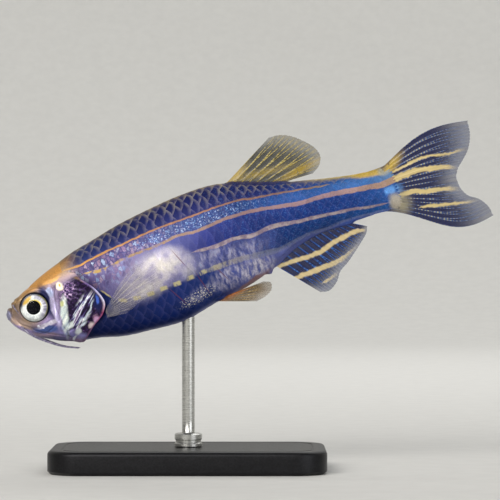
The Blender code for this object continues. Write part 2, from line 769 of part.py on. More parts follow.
def reach_along_x(parts):
    bpy.context.view_layer.update()
    corners = [thing.matrix_world @ vertex.co for thing in parts.objects if thing.type == "MESH"
               for vertex in thing.data.vertices]
    return min(corner.x for corner in corners), max(corner.x for corner in corners)


def main():
    for thing in list(bpy.data.objects):
        bpy.data.objects.remove(thing)
    parts = bpy.data.collections.new("zebra_danio_on_stand")
    bpy.context.scene.collection.children.link(parts)
    fish = new_object("fish_axis", None, parts)
    fish.rotation_euler = (0, -PITCH, 0)
    fish.location.z = SNOUT_HEIGHT

    make_head(parts, fish)
    make_lower_jaw(parts, fish)
    make_trunk(parts, fish)
    make_median_fins(parts, fish)
    for word, side in (("left", -1), ("right", 1)):
        make_gill_cover(parts, fish, word, side)
        make_eye(parts, fish, word, side)
        make_paired_fins(parts, fish, word, side)
        make_barbels(parts, fish, word, side)

    low, high = reach_along_x(parts)
    fish.location.x = -(low + high) / 2
    along = ROD_STATION * math.cos(PITCH) - belly(ROD_STATION) * math.sin(PITCH)
    make_stand(parts, fish.location.x + along * P, belly_underside(fish.location.x))
    bpy.context.view_layer.update()


main()
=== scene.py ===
"""Dresses the zebra danio and its display stand with the fine skin, scales, fins and eyes of the real fish.

Lengths of the fish are in percent of its standard length in its own frame: x from snout to tail,
y to the right flank, z up. Markings are placed in millimetres in that same frame.
"""

import math

import bpy
import numpy as np
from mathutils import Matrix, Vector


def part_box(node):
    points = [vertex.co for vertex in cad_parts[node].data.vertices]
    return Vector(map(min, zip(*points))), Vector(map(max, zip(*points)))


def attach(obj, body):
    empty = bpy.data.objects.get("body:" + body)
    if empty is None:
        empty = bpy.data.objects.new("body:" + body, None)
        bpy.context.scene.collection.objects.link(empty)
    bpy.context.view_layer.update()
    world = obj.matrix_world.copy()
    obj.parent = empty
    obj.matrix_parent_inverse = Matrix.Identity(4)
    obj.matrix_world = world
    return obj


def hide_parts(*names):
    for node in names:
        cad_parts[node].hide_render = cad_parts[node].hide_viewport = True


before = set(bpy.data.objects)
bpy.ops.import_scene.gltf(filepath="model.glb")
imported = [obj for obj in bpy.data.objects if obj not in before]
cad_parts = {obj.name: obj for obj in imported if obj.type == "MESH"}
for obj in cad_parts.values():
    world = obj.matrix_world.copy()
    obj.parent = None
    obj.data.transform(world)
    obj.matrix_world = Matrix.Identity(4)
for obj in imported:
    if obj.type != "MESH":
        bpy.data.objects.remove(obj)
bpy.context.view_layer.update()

# The fish's own sizes, as the solids have them, in metres
STANDARD_LENGTH = 0.0380
PITCH = math.radians(18.25)
SNOUT_HEIGHT = 0.01493
ROD_STATION = 42.0
P = STANDARD_LENGTH / 100
MM = 0.001 / P                      # a millimetre in percent of the standard length

# Body: station, back, belly, half width, height of the widest point. The last row thins the skin out
# over the roots of the tail fin.
PROFILE = (
    (-0.4, -0.1, -2.2, 1.3, -1.2),
    (0.4, 0.9, -3.8, 2.0, -1.4),
    (1.8, 2.1, -5.7, 2.8, -1.6),
    (4.2, 3.3, -7.7, 3.7, -1.8),
    (6.8, 4.4, -9.3, 4.4, -2.0),
    (10.5, 6.0, -11.0, 5.2, -2.6),
    (14.7, 7.5, -12.4, 6.0, -3.2),
    (19.7, 9.2, -13.3, 6.6, -3.7),
    (25.5, 10.5, -14.8, 7.1, -3.9),
    (32.4, 12.1, -15.5, 7.6, -3.8),
    (41.1, 13.4, -15.9, 7.9, -3.4),
    (50.0, 14.3, -14.1, 7.5, -2.6),
    (59.5, 14.0, -12.5, 6.4, -1.6),
    (65.8, 12.2, -10.5, 5.4, -0.9),
    (72.6, 9.9, -7.2, 4.5, -0.2),
    (80.0, 8.2, -5.5, 3.7, 0.3),
    (88.2, 6.4, -5.7, 2.8, 0.3),
    (94.7, 5.4, -5.7, 2.2, 0.1),
    (100.0, 5.5, -6.4, 1.3, -0.4),
    (104.0, 6.3, -7.6, 0.3, -0.6),
)

# Body: station, and how full its section is above the widest point and below it
FULLNESS = (
    (-0.4, 2.2, 2.0),
    (10.0, 2.3, 2.1),
    (25.0, 2.0, 2.2),
    (45.0, 1.8, 2.3),
    (66.0, 1.8, 1.9),
    (80.0, 1.9, 1.8),
    (100.0, 2.0, 2.0),
    (104.0, 2.0, 2.0),
)

# Lines round the body as the share of the way from back to belly, and the station there: hind edge of
# the gill covers, hind edge of the cheeks, and end of the skin
GILL_LINE = ((0.0, 19.0), (0.25, 18.8), (0.36, 20.2), (0.45, 23.0), (0.53, 24.1), (0.6, 23.0),
             (0.7, 19.8), (0.8, 17.6), (1.0, 15.2))
CHEEK_LINE = ((0.0, 14.5), (0.3, 13.4), (0.45, 12.1), (0.6, 11.9), (0.75, 12.6), (1.0, 14.0))
SKIN_END = ((0.0, 101.2), (0.3, 102.6), (0.5, 102.2), (0.75, 102.4), (1.0, 100.2))
COVER_TOP = 0.34                    # the gill covers lie between these two shares
COVER_FOOT = 0.86

MOUTH_LINE = ((0.8, 2.6), (0.9, 0.7), (0.95, -0.8), (1.3, -2.4), (2.1, -3.8), (3.6, -5.1), (5.5, -6.7),
              (7.9, -8.2), (10.5, -9.5), (12.9, -10.7), (14.2, -12.1), (14.8, -14.5))
MOUTH_CORNER = -4.3                 # height below which the line runs on as the seam of the jaw
EYE_CENTRE = (6.95, -1.0)
EYE_RADIUS = 3.6
EYE_HALF_DEPTH = 2.4
EYE_OFFSET = 3.5
NOSTRIL_OFFSET = 2.2

# Nostrils: station, height, how much taller than long, and the ridges about them
NOSTRILS = ((2.7, 1.75, 1.0, ((0.10, 0.52, 0.16), (-0.45, 0.0, 0.28))),
            (3.55, 2.1, 1.2, ((0.10, 0.6, 0.18), (-0.50, 0.0, 0.32))))

# Ridges and grooves of the head: height, distance from their line, and reach
LIPS = ((0.30, 0.62, 0.36), (0.30, -0.60, 0.36), (-0.50, 0.0, 0.2), (-0.12, 1.3, 0.2))
JAW_SEAM = ((-0.22, 0.0, 0.22), (0.12, 0.6, 0.4))
ORBIT_RIM = ((0.22, 4.35, 0.34), (-0.14, 5.15, 0.3))
CHEEK_BONES = ((-0.12, 6.9, 0.2), (0.10, 6.0, 0.6))
COVER_FRONT = ((0.20, -0.6, 0.4), (-0.36, 0.0, 0.2), (0.30, 0.7, 0.45))
COVER_SEAM = ((0.10, -0.06, 0.03), (-0.34, 0.0, 0.022))
SNOUT_SLOPE = 0.45                  # how far the skin falls away above the upper lip

# Fins: root, margin from the leading ray to the last
DORSAL_ROOT = (61.7, 75.6)
DORSAL_MARGIN = ((75.2, 20.9), (77.8, 20.7), (80.7, 19.4), (83.2, 17.3), (85.4, 14.6), (85.9, 12.4),
                 (84.9, 10.4), (82.8, 9.0))
ANAL_ROOT = (66.9, 88.0)
ANAL_MARGIN = ((75.4, -19.7), (77.4, -20.0), (79.8, -18.7), (81.8, -16.2), (84.2, -14.7),
               (86.8, -12.7), (89.0, -10.9), (91.0, -8.9), (91.5, -7.7))
CAUDAL_UPPER_ROOT = ((100.0, 5.2), (99.6, 2.4), (99.2, -0.73))
CAUDAL_UPPER_MARGIN = ((123.5, 9.4), (122.9, 5.8), (121.2, 2.4), (119.3, 0.5), (117.4, -1.2),
                       (116.4, -3.08))
CAUDAL_LOWER_ROOT = ((98.2, -6.1), (98.6, -3.6), (99.2, -0.73))
CAUDAL_LOWER_MARGIN = ((122.2, -14.9), (121.8, -12.7), (120.2, -10.1), (117.7, -8.2), (116.5, -5.8),
                       (116.4, -3.08))
PECTORAL_ROOT = ((24.9, -5.9), (24.6, -7.4), (23.8, -9.0))
PECTORAL_MARGIN = ((34.5, 1.3), (37.4, 0.7), (39.3, -1.4), (39.3, -4.6), (36.3, -6.7), (32.1, -8.0),
                   (28.7, -9.4))
PELVIC_ROOT = ((50.8, -14.9), (52.0, -14.5), (53.2, -14.1))
PELVIC_MARGIN = ((59.7, -16.8), (62.4, -16.2), (64.2, -14.9), (64.4, -13.5), (62.8, -12.7))
MOUTH_BARBEL = ((2.2, -4.6, 4.1), (3.4, -6.4, 4.0), (4.8, -8.0, 3.6), (7.0, -9.9, 3.1),
                (10.5, -12.4, 2.5), (14.2, -14.1, 2.2))
SNOUT_BARBEL = ((1.9, 1.2, 2.9), (2.2, 0.3, 4.0), (2.9, -1.3, 5.2))

# Fineness of the skin, and the sizes of the coat, in percent
SKIN_HALF_ROUND = 200               # columns on each flank
HEAD_ROWS = 190
TRUNK_ROWS = 200
SKIN_DEPTH = 0.10                   # skin of the head inside the solids
SCALE_DEPTH = 0.22                  # skin of the trunk inside the solids, deeper because scales lie on it
ROOT_DEPTH = 0.04                   # how far a scale's root is sunk in the skin
SCALE_LIFT = 0.15                   # how much higher a scale's hind edge lies than its root
SCALE_THICKNESS = 0.03
GILL_HOLLOW = 0.35                  # how far the skin falls away behind the gill covers
SCALE_ROWS = 7                      # scales side by side from back to belly
SCALE_LENGTH = 1.9                  # of a whole scale, in the lengths of its bare part
SCALE_BREADTH = 1.26                # of a whole scale, in the widths of its row
FIRST_SCALE = 17.5                  # station of the first scale on the nape
PATCH = (0.021, 0.05)               # a scale's patch on the bake map, along the body and round it

# Fins, in millimetres
WEB = 0.07                          # thickness of the web
RAY = 0.17                          # thickness of a ray at its root
RAY_TAPER = 0.10                    # how much thinner a ray is at the margin
FLESH = 0.30                        # flesh over the rays at the fin's root
JOINT_STEP = 0.30                   # length of one segment of a soft ray

# Fins, as shares of a ray's length, and how fine their sheets are
RAGGED = 0.008                      # how far the web falls short between two rays
SUNK_ROOT = 0.08                    # how far the fin runs on into the flesh
RAY_COLUMNS = 14                    # columns of points from one ray to the next


def smooth(points, column):
    """A smooth function through one column of a table whose first column rises."""
    table = np.array(points, dtype=float)
    stations = table[:, 0]
    values = table[:, column]
    slopes = np.gradient(values, stations)

    def value(station):
        index = np.clip(np.searchsorted(stations, station) - 1, 0, len(stations) - 2)
        span = stations[index + 1] - stations[index]
        t = (station - stations[index]) / span
        rise = values[index + 1] - values[index]
        first = slopes[index] * span
        last = slopes[index + 1] * span
        return values[index] + t * (first + t * (3 * rise - 2 * first - last + t * (first + last - 2 * rise)))

    return value


def smooth_path(points):
    """A smooth curve through points, as a function of the share of its length."""
    table = np.array(points, dtype=float)
    lengths = np.linalg.norm(np.diff(table, axis=0), axis=1)
    shares = np.concatenate(([0.0], np.cumsum(lengths))) / lengths.sum()
    axes = [smooth(np.column_stack((shares, table)), column + 1) for column in range(table.shape[1])]
    return lambda share: np.stack([axis(share) for axis in axes], axis=-1)


back = smooth(PROFILE, 1)
belly = smooth(PROFILE, 2)
half_width = smooth(PROFILE, 3)
widest = smooth(PROFILE, 4)
fullness_above = smooth(FULLNESS, 1)
fullness_below = smooth(FULLNESS, 2)
gill_line = smooth(GILL_LINE, 1)
cheek_line = smooth(CHEEK_LINE, 1)
skin_end = smooth(SKIN_END, 1)

rod_low, rod_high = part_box("stand_rod")
base_low, base_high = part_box("stand_base")
rod_x = (rod_low.x + rod_high.x) / 2
SNOUT_X = rod_x - (ROD_STATION * math.cos(PITCH) - belly(ROD_STATION) * math.sin(PITCH)) * P


def to_room(points):
    """Points of the fish, in percent, as points of the room in metres."""
    x, y, z = np.moveaxis(np.asarray(points, dtype=float) * P, -1, 0)
    along = x * math.cos(PITCH) - z * math.sin(PITCH) + SNOUT_X
    up = x * math.sin(PITCH) + z * math.cos(PITCH) + SNOUT_HEIGHT
    return np.stack((along, y, up), axis=-1)


def rise(value, low, high):
    """A smooth step from 0 at low to 1 at high."""
    t = np.clip((value - low) / (high - low), 0.0, 1.0)
    return t * t * (3 - 2 * t)


def hump(distance, reach):
    """A bump of height 1 that falls away on both sides over its reach."""
    return np.exp(-(distance / reach) ** 2)


def body_points(station, turn, inset=0.0):
    """Points of the body. Turn runs from 0 on the back to 1 down the right flank, to -1 down the left."""
    turn = (turn + 1) % 2 - 1
    angle = np.abs(turn) * math.pi
    above = angle < math.pi / 2
    power = 2 / np.where(above, fullness_above(station), fullness_below(station))
    middle = widest(station)
    reach = np.where(above, back(station) - middle, middle - belly(station)) - inset
    height = middle + np.sign(np.cos(angle)) * np.abs(np.cos(angle)) ** power * reach
    breadth = np.sign(turn) * np.abs(np.sin(angle)) ** power * (half_width(station) - inset)
    return np.stack((station + 0 * turn, breadth, height), axis=-1)


def flank(station, height):
    """Half the body's width at a station and a height."""
    middle = widest(station)
    above = height > middle
    power = np.where(above, fullness_above(station), fullness_below(station))
    t = np.abs(height - middle) / np.where(above, back(station) - middle, middle - belly(station))
    return half_width(station) * np.maximum(1 - t ** power, 0.0) ** (1 / power)


def beside(points, x, z):
    """Distance to a line in side view, positive on its left, and the height where it is nearest."""
    line = smooth_path(points)(np.linspace(0, 1, 60))
    nearest = np.full(x.shape, 1e9)
    signed = np.zeros(x.shape)
    height = np.zeros(x.shape)
    for first, last in zip(line[:-1], line[1:]):
        along = last - first
        t = np.clip(((x - first[0]) * along[0] + (z - first[1]) * along[1]) / (along @ along), 0, 1)
        gap_x = x - first[0] - t * along[0]
        gap_z = z - first[1] - t * along[1]
        gap = np.hypot(gap_x, gap_z)
        closer = gap < nearest
        nearest = np.where(closer, gap, nearest)
        side = np.sign(gap_z * along[0] - gap_x * along[1])
        signed = np.where(closer, side * gap, signed)
        height = np.where(closer, first[1] + t * along[1], height)
    return signed, height


def normals_of(grid):
    """Directions square to a grid that closes on itself along its second axis, pointing out."""
    along = np.gradient(grid, axis=0)
    around = np.roll(grid, -1, axis=1) - np.roll(grid, 1, axis=1)
    out = np.cross(along, around)
    return out / np.maximum(np.linalg.norm(out, axis=-1, keepdims=True), 1e-9)


def beside_gill(share):
    """1 on the sides, where the gill covers are, and 0 on nape and throat."""
    return rise(share, 0.30, 0.42) * rise(share, 1.0, 0.95)


def ridges(distance, table):
    """Ridges and grooves along a line: the height of each, its distance from the line and its reach."""
    return sum(height * hump(distance - place, reach) for height, place, reach in table)


def head_relief(x, y, z, share):
    """How far the features of the head stand out of its plain form."""
    mouth, mouth_height = beside(MOUTH_LINE, x, z)
    lips = rise(mouth_height, MOUTH_CORNER - 0.9, MOUTH_CORNER + 0.7)
    jaw_seam = (1 - lips) * rise(mouth_height, -12.5, -9.5)
    relief = lips * ridges(mouth, LIPS) + jaw_seam * ridges(mouth, JAW_SEAM)
    relief -= SNOUT_SLOPE * hump(x - 0.9, 0.9) * rise(z, -0.3, 0.9)

    from_eye = np.hypot(x - EYE_CENTRE[0], z - EYE_CENTRE[1])
    up_eye = np.arctan2(z - EYE_CENTRE[1], x - EYE_CENTRE[0])
    below_eye = rise(up_eye, -2.9, -2.3) * rise(up_eye, 0.9, 0.3)
    relief += ridges(from_eye, ORBIT_RIM) + below_eye * ridges(from_eye, CHEEK_BONES)
    between_bones = np.abs(np.sin(up_eye * 3.2))
    relief -= 0.10 * hump(between_bones, 0.10) * below_eye * hump(from_eye - 6.0, 0.8)

    aside = 0.7 * (np.abs(y) - NOSTRIL_OFFSET)
    for aft, up, tall, rim_and_pit in NOSTRILS:
        from_hole = np.sqrt((x - aft) ** 2 + ((z - up) / tall) ** 2 + aside ** 2)
        relief += ridges(from_hole, rim_and_pit)

    cover = rise(share, COVER_TOP - 0.04, COVER_TOP + 0.04)
    cover *= rise(share, COVER_FOOT + 0.03, COVER_FOOT - 0.03)
    behind_cheek = x - cheek_line(share)
    ahead_of_gill = gill_line(share) - x
    relief += cover * (ridges(behind_cheek, COVER_FRONT) + 0.22 * rise(behind_cheek, 0.0, 2.5))
    across = behind_cheek / (behind_cheek + ahead_of_gill)
    down = (share - COVER_TOP) / (COVER_FOOT - COVER_TOP)
    on_cover = cover * rise(behind_cheek, 0.4, 1.4) * rise(ahead_of_gill, 0.1, 0.9)
    seam = down - 0.8 + 0.28 * across
    relief += on_cover * ridges(seam, COVER_SEAM)
    spoke = np.arctan2(z - 2.4, x - 13.6)
    relief += 0.045 * on_cover * np.sin(34 * spoke) * rise(-seam, 0.0, 0.1)

    throat = rise(share, COVER_FOOT - 0.02, COVER_FOOT + 0.01)
    throat *= rise(x, 8.0, 10.0) * rise(ahead_of_gill, 0.0, 1.0)
    relief += 0.16 * throat * np.cos(2 * math.pi * (share - COVER_FOOT) / 0.035)
    relief -= 0.5 * hump(y, 0.4) * rise(share, 0.8, 0.95) * rise(x, 1.5, 3.0) * rise(x, 15.0, 12.0)
    relief += 0.55 * beside_gill(share) * rise(ahead_of_gill, 2.6, 0.3)
    return relief


def sheath(x, share):
    """How the flesh thins out over the roots of the tail fin."""
    end = skin_end(share)
    return 1 - 0.9 * rise(x, end - 5.0, end) ** 1.5


def gill_hollow(x, share):
    """How far the skin falls away right behind the gill covers."""
    return GILL_HOLLOW * beside_gill(share) * rise(x - gill_line(share), 1.3, 0.1)


def trunk_relief(x, y, z, share):
    """The gill opening's hollow, the flesh at the fins' roots, the vent and the ridge of the back."""
    relief = -gill_hollow(x, share)
    relief += 0.75 * hump(x - 24.9, 1.3) * hump(z + 7.4, 1.9)
    crest = rise(x, 60.5, 62.5) * rise(x, 77.5, 75.0) * rise(z, 0.0, 3.0)
    keel = rise(x, 65.5, 67.5) * rise(x, 90.0, 87.5) * rise(-z, 0.0, 3.0)
    relief += 0.55 * hump(y, 0.9) * (crest + keel)
    underside = rise(share, 0.8, 0.9)
    relief += 0.9 * hump(x - 64.9, 0.9) * hump(y, 1.1) * underside
    relief += 0.5 * hump(x - 51.5, 1.6) * hump(np.abs(y) - 2.2, 0.9) * underside
    return relief


def set_eyes_in(grid):
    """Draws the skin in to the rims of the eyes, and sinks a socket inside them."""
    x, y, z = np.moveaxis(grid, -1, 0)
    side = np.sign(y)
    from_eye = np.hypot(x - EYE_CENTRE[0], z - EYE_CENTRE[1])
    beside_crown = rise(np.abs(y) / half_width(np.clip(x, 0, 20)), 0.45, 0.8)
    rim = EYE_OFFSET + 0.48 + 0.10 * (x - EYE_CENTRE[0])
    drawn = rise(from_eye, 5.9, 4.05) * beside_crown
    y = y * (1 - drawn) + side * rim * drawn
    sunk = rise(from_eye, 3.78, 3.3)
    y = y * (1 - sunk) + side * 1.6 * sunk
    return np.stack((x, y, z), axis=-1)


def skin_grid():
    """The whole skin from the chin to the tail's roots, its marks, and the number of rows up to the gills."""
    step = np.linspace(0, 1, SKIN_HALF_ROUND, endpoint=False)
    turn = np.concatenate((step, step - 1))
    share = np.abs(turn)
    start = PROFILE[0][0]
    gill = gill_line(share)
    head_steps = np.linspace(0, 1, HEAD_ROWS)[:, None] ** 1.2
    trunk_steps = np.linspace(0, 1, TRUNK_ROWS)[:, None] ** 1.15
    head_x = start + (gill - start) * head_steps
    trunk_x = gill - 0.25 + (skin_end(share) - gill + 0.25) * trunk_steps
    shares = np.broadcast_to(share, head_x.shape)
    trunk_shares = np.broadcast_to(share, trunk_x.shape)

    gill_side = rise(share, 0.30, 0.38)
    sunk = rise(head_x, 12.5, 18.6) * (1 - gill_side)
    head = body_points(head_x, turn, SKIN_DEPTH + (SCALE_DEPTH - SKIN_DEPTH) * sunk)
    head += normals_of(head) * head_relief(*np.moveaxis(head, -1, 0), shares)[..., None]
    head = set_eyes_in(head)
    trunk = body_points(trunk_x, turn, SCALE_DEPTH)
    trunk += normals_of(trunk) * trunk_relief(*np.moveaxis(trunk, -1, 0), trunk_shares)[..., None]
    trunk[..., 1] *= sheath(trunk_x, share)

    centre = head[0].mean(axis=0)
    cap = []
    for angle in np.linspace(0.08, 0.92, 9) * math.pi / 2:
        ring = centre + (head[0] - centre) * math.sin(angle)
        ring[:, 0] -= 0.22 * math.cos(angle)
        cap.append(ring)
    grid = np.concatenate((np.array(cap), head, trunk))

    cap_rows = len(cap)
    hem = np.zeros(grid.shape[:2])
    hem[cap_rows:cap_rows + HEAD_ROWS] = rise(gill - head_x, 0.75, 0.1) * gill_side
    girth = np.broadcast_to(share, grid.shape[:2])
    return grid, {"hem": hem, "girth": girth}, cap_rows + HEAD_ROWS


def ring_faces(rows, around):
    """Quads of a tube of rings, with each end closed like a ladder."""
    row, column = np.meshgrid(np.arange(rows - 1), np.arange(around), indexing="ij")
    after = (column + 1) % around
    quads = np.stack((row * around + column, (row + 1) * around + column,
                      (row + 1) * around + after, row * around + after), axis=-1).reshape(-1, 4)
    rung = np.arange(1, around // 2 - 1)
    ends = []
    for first, flip in ((0, False), ((rows - 1) * around, True)):
        ladder = np.stack((first + rung, first + rung + 1,
                           first + around - rung - 1, first + around - rung), axis=-1)
        ends.append(ladder[:, ::-1] if flip else ladder)
    faces = np.concatenate([quads] + ends).tolist()
    for first, flip in ((0, 1), ((rows - 1) * around, -1)):
        half = around // 2
        faces.append([first, first + 1, first + around - 1][::flip])
        faces.append([first + half - 1, first + half, first + half + 1][::flip])
    return faces


def sheet_faces(rows, columns):
    """Faces of a thin closed plate whose two sides are grids of rows by columns, one after the other."""
    row, column = np.meshgrid(np.arange(rows - 1), np.arange(columns - 1), indexing="ij")
    a = (row * columns + column).ravel()
    quads = np.stack((a, a + 1, a + columns + 1, a + columns), axis=-1)
    under = quads[:, ::-1] + rows * columns
    rim = np.concatenate((np.arange(columns), np.arange(2, rows + 1) * columns - 1,
                          (rows - 1) * columns + np.arange(columns - 2, -1, -1),
                          np.arange(rows - 2, 0, -1) * columns))
    after = np.roll(rim, -1)
    edge = np.stack((rim, rim + rows * columns, after + rows * columns, after), axis=-1)
    return np.concatenate((quads, under, edge))


def new_piece(name, points, faces, finish, slot, marks=None, replaces=(), crease=None):
    """A piece of the model, its faces turned out, riding on the still body. Without a slot it is studio."""
    mesh = bpy.data.meshes.new(name)
    points = np.asarray(points).reshape(-1, 3)
    mesh.from_pydata(points.tolist(), [], faces if isinstance(faces, list) else faces.tolist())
    corners = np.zeros(len(mesh.loops), dtype=np.int32)
    mesh.loops.foreach_get("vertex_index", corners)
    mesh.calc_loop_triangles()
    triangles = np.zeros(len(mesh.loop_triangles) * 3, dtype=np.int32)
    mesh.loop_triangles.foreach_get("vertices", triangles)
    a, b, c = np.moveaxis(points[triangles.reshape(-1, 3)], 1, 0)
    if np.einsum("ij,ij->i", a, np.cross(b, c)).sum() < 0:
        mesh.flip_normals()
    for mark, values in (marks or {}).items():
        held = mesh.attributes.new(mark, "FLOAT", "POINT")
        held.data.foreach_set("value", np.asarray(values, dtype=np.float32).ravel())
    mesh.shade_smooth()
    if crease:
        mesh.set_sharp_from_angle(angle=crease)
    piece = bpy.data.objects.new(name, mesh)
    bpy.context.scene.collection.objects.link(piece)
    mesh.materials.append(finish)
    if slot is None:
        return piece
    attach(piece, "root")
    if replaces:
        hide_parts(*replaces)
    return piece


def linear(hex_colour):
    """An sRGB colour written as six hex digits, as linear light with full cover."""
    values = [int(hex_colour[i:i + 2], 16) / 255 for i in (1, 3, 5)]
    return tuple(v / 12.92 if v <= 0.04045 else ((v + 0.055) / 1.055) ** 2.4 for v in values) + (1.0,)


class Finish:
    """A material built up node by node on one shader."""

    def __init__(self, name):
        self.material = bpy.data.materials.new(name)
        self.material.use_nodes = True
        self.tree = self.material.node_tree
        self.shader = self.tree.nodes["Principled BSDF"]

    def feed(self, node, inputs):
        """Links another node's output to an input, or sets its value."""
        for key, value in inputs.items():
            if isinstance(value, bpy.types.NodeSocket):
                self.tree.links.new(value, node.inputs[key])
            else:
                node.inputs[key].default_value = value

    def surface(self, inputs):
        """Feeds the shader, and gives back the finished material."""
        self.feed(self.shader, inputs)
        return self.material

    def add(self, kind, inputs=None, out=0, stops=None, curve=None, **settings):
        """Adds a node with its settings and links, and gives back one of its outputs."""
        made = self.tree.nodes.new("ShaderNode" + kind)
        for name, value in settings.items():
            setattr(made, name, value)
        self.feed(made, inputs or {})
        if stops:
            elements = made.color_ramp.elements
            while len(elements) < len(stops):
                elements.new(0.5)
            for element, (place, colour) in zip(elements, stops):
                element.position = place
                element.color = linear(colour)
        if curve:
            points = made.mapping.curves[0].points
            while len(points) < len(curve):
                points.new(0.5, 0.5)
            for point, place in zip(points, curve):
                point.location = place
                point.handle_type = "AUTO_CLAMPED"
            made.mapping.update()
        return made.outputs[out]

    def step(self, value, low, high):
        """Where a value has risen from low to high, as a soft edge."""
        return self.add("MapRange", {"Value": value, "From Min": low, "From Max": high},
                        interpolation_type="SMOOTHSTEP")

    def where(self, cover, *others):
        """Where every one of the covers is: their product."""
        for other in others:
            cover = self.add("Math", {0: cover, 1: other}, operation="MULTIPLY")
        return cover

    def over(self, below, colour, where):
        """A colour laid over what is there."""
        colour = linear(colour) if isinstance(colour, str) else colour
        return self.add("Mix", {0: where, 6: below, 7: colour}, out=2, data_type="RGBA")

    def mark(self, name):
        """A value that the piece's points carry."""
        return self.add("Attribute", attribute_name=name, out=2)

    def fish_place(self):
        """The place on the fish in millimetres: back from the snout, out from the midline, up."""
        spot = self.add("TexCoord", out=3)
        moved = self.add("VectorMath", {0: spot, 1: (-SNOUT_X, 0, -SNOUT_HEIGHT)}, operation="ADD")
        level = self.add("VectorRotate", {"Vector": moved, "Angle": PITCH}, rotation_type="Y_AXIS")
        return self.add("VectorMath", {0: level, "Scale": 1000.0}, operation="SCALE")

    def blot(self, place, centre, radii, tilt=0.0, soft=0.3):
        """An oval in side view with a soft edge, its tail end raised by the tilt in degrees."""
        inside = self.add("Mapping", {"Vector": place, "Location": (centre[0], 0, centre[1]),
                                      "Rotation": (0, -math.radians(tilt), 0),
                                      "Scale": (radii[0], ENDLESS, radii[1])}, vector_type="TEXTURE")
        reach = self.add("VectorMath", {0: inside}, out=1, operation="LENGTH")
        return self.step(reach, 1 + soft, 1 - soft)

    def spots(self, below, place, ovals, soft, *covers):
        """Ovals of centre, radii, tilt, hue and cover, each laid over what is there before it."""
        for centre, radii, tilt, hue, *cover in ovals:
            inside = self.where(self.blot(place, centre, radii, tilt, soft), *cover, *covers)
            below = self.over(below, hue, inside)
        return below

    def line(self, x, z, points, soft=0.05):
        """A stripe through points of x, height and half width: its cover, and how far above it a point is."""
        # The curves run from 0 to 1, which stands for the fish's length and for a height on either side of 0
        far = 46.0
        deep = 16.0
        share = self.add("Math", {0: x, 1: far}, operation="DIVIDE")
        heights = self.add("FloatCurve", {"Value": share},
                           curve=[(px / far, pz / deep + 0.5) for px, pz, half in points])
        widths = self.add("FloatCurve", {"Value": share},
                          curve=[(px / far, half + soft if half else 0.0) for px, pz, half in points])
        level = self.add("Math", {0: heights, 1: deep, 2: -deep / 2}, operation="MULTIPLY_ADD")
        above = self.add("Math", {0: z, 1: level}, operation="SUBTRACT")
        gap = self.add("Math", {0: above}, operation="ABSOLUTE")
        inside = self.add("Math", {0: widths, 1: gap}, operation="SUBTRACT")
        return self.step(inside, 0.0, 2 * soft), above


RAMP_LENGTH = 40.0                  # millimetres of the fish that a ramp from head to tail covers
DASH_PITCH = 1.33                   # millimetres from one dash of the lowest stripe to the next
FIRST_DASH = 10.78                  # where the first of them is
ENDLESS = 1e4                       # reach of an oval across the fish, so that both flanks have it

# Stripes of the flank: x, height and half width in millimetres, from the first below the back down
GOLD_LINE = ((5.6, 1.85, 0.0), (6.7, 2.04, 0.08), (7.5, 2.01, 0.09), (8.9, 2.22, 0.09), (9.9, 2.39, 0.085),
             (12.4, 2.67, 0.085), (15.0, 2.96, 0.08), (16.5, 3.08, 0.08), (19.1, 3.12, 0.08),
             (21.6, 3.23, 0.08), (23.5, 3.23, 0.08), (25.3, 2.95, 0.09), (27.8, 2.65, 0.08),
             (29.7, 2.34, 0.075), (31.4, 2.07, 0.08), (33.5, 1.9, 0.0), (38.0, 1.7, 0.0))
COPPER_LINE = ((5.6, 0.9, 0.0), (7.4, 1.05, 0.12), (8.2, 1.07, 0.15), (10.2, 0.96, 0.15), (12.1, 1.35, 0.13),
               (13.8, 1.44, 0.12), (15.8, 1.55, 0.12), (17.4, 1.79, 0.13), (19.3, 1.64, 0.14),
               (21.2, 1.8, 0.15), (23.1, 1.92, 0.15), (25.0, 1.81, 0.18), (27.4, 1.45, 0.18),
               (29.4, 1.1, 0.2), (31.6, 1.07, 0.21), (34.0, 0.78, 0.25), (35.9, 0.55, 0.26),
               (37.2, 0.37, 0.28), (39.0, 0.52, 0.3))
ROSE_LINE = ((9.0, -0.3, 0.0), (17.5, -0.1, 0.0), (19.0, -0.16, 0.12), (20.5, -0.26, 0.17),
             (22.4, -0.13, 0.18), (24.3, -0.37, 0.18), (26.1, -0.16, 0.2), (28.9, -0.5, 0.16),
             (29.8, -0.54, 0.15), (32.3, -0.8, 0.13), (33.5, -0.93, 0.13), (35.3, -1.24, 0.12),
             (36.5, -1.4, 0.1), (37.6, -1.5, 0.0))
STRAW_LINE = ((9.2, -0.96, 0.1), (10.8, -2.33, 0.16), (13.3, -2.57, 0.2), (14.6, -2.49, 0.2),
              (16.0, -2.45, 0.2), (17.4, -2.29, 0.2), (19.0, -2.18, 0.2), (20.1, -2.16, 0.24),
              (21.8, -2.12, 0.26), (24.2, -2.28, 0.26), (26.1, -2.42, 0.24), (28.1, -2.1, 0.18),
              (29.4, -1.9, 0.16), (30.6, -1.95, 0.15), (33.0, -1.8, 0.12), (36.0, -1.95, 0.1),
              (38.0, -2.1, 0.0))

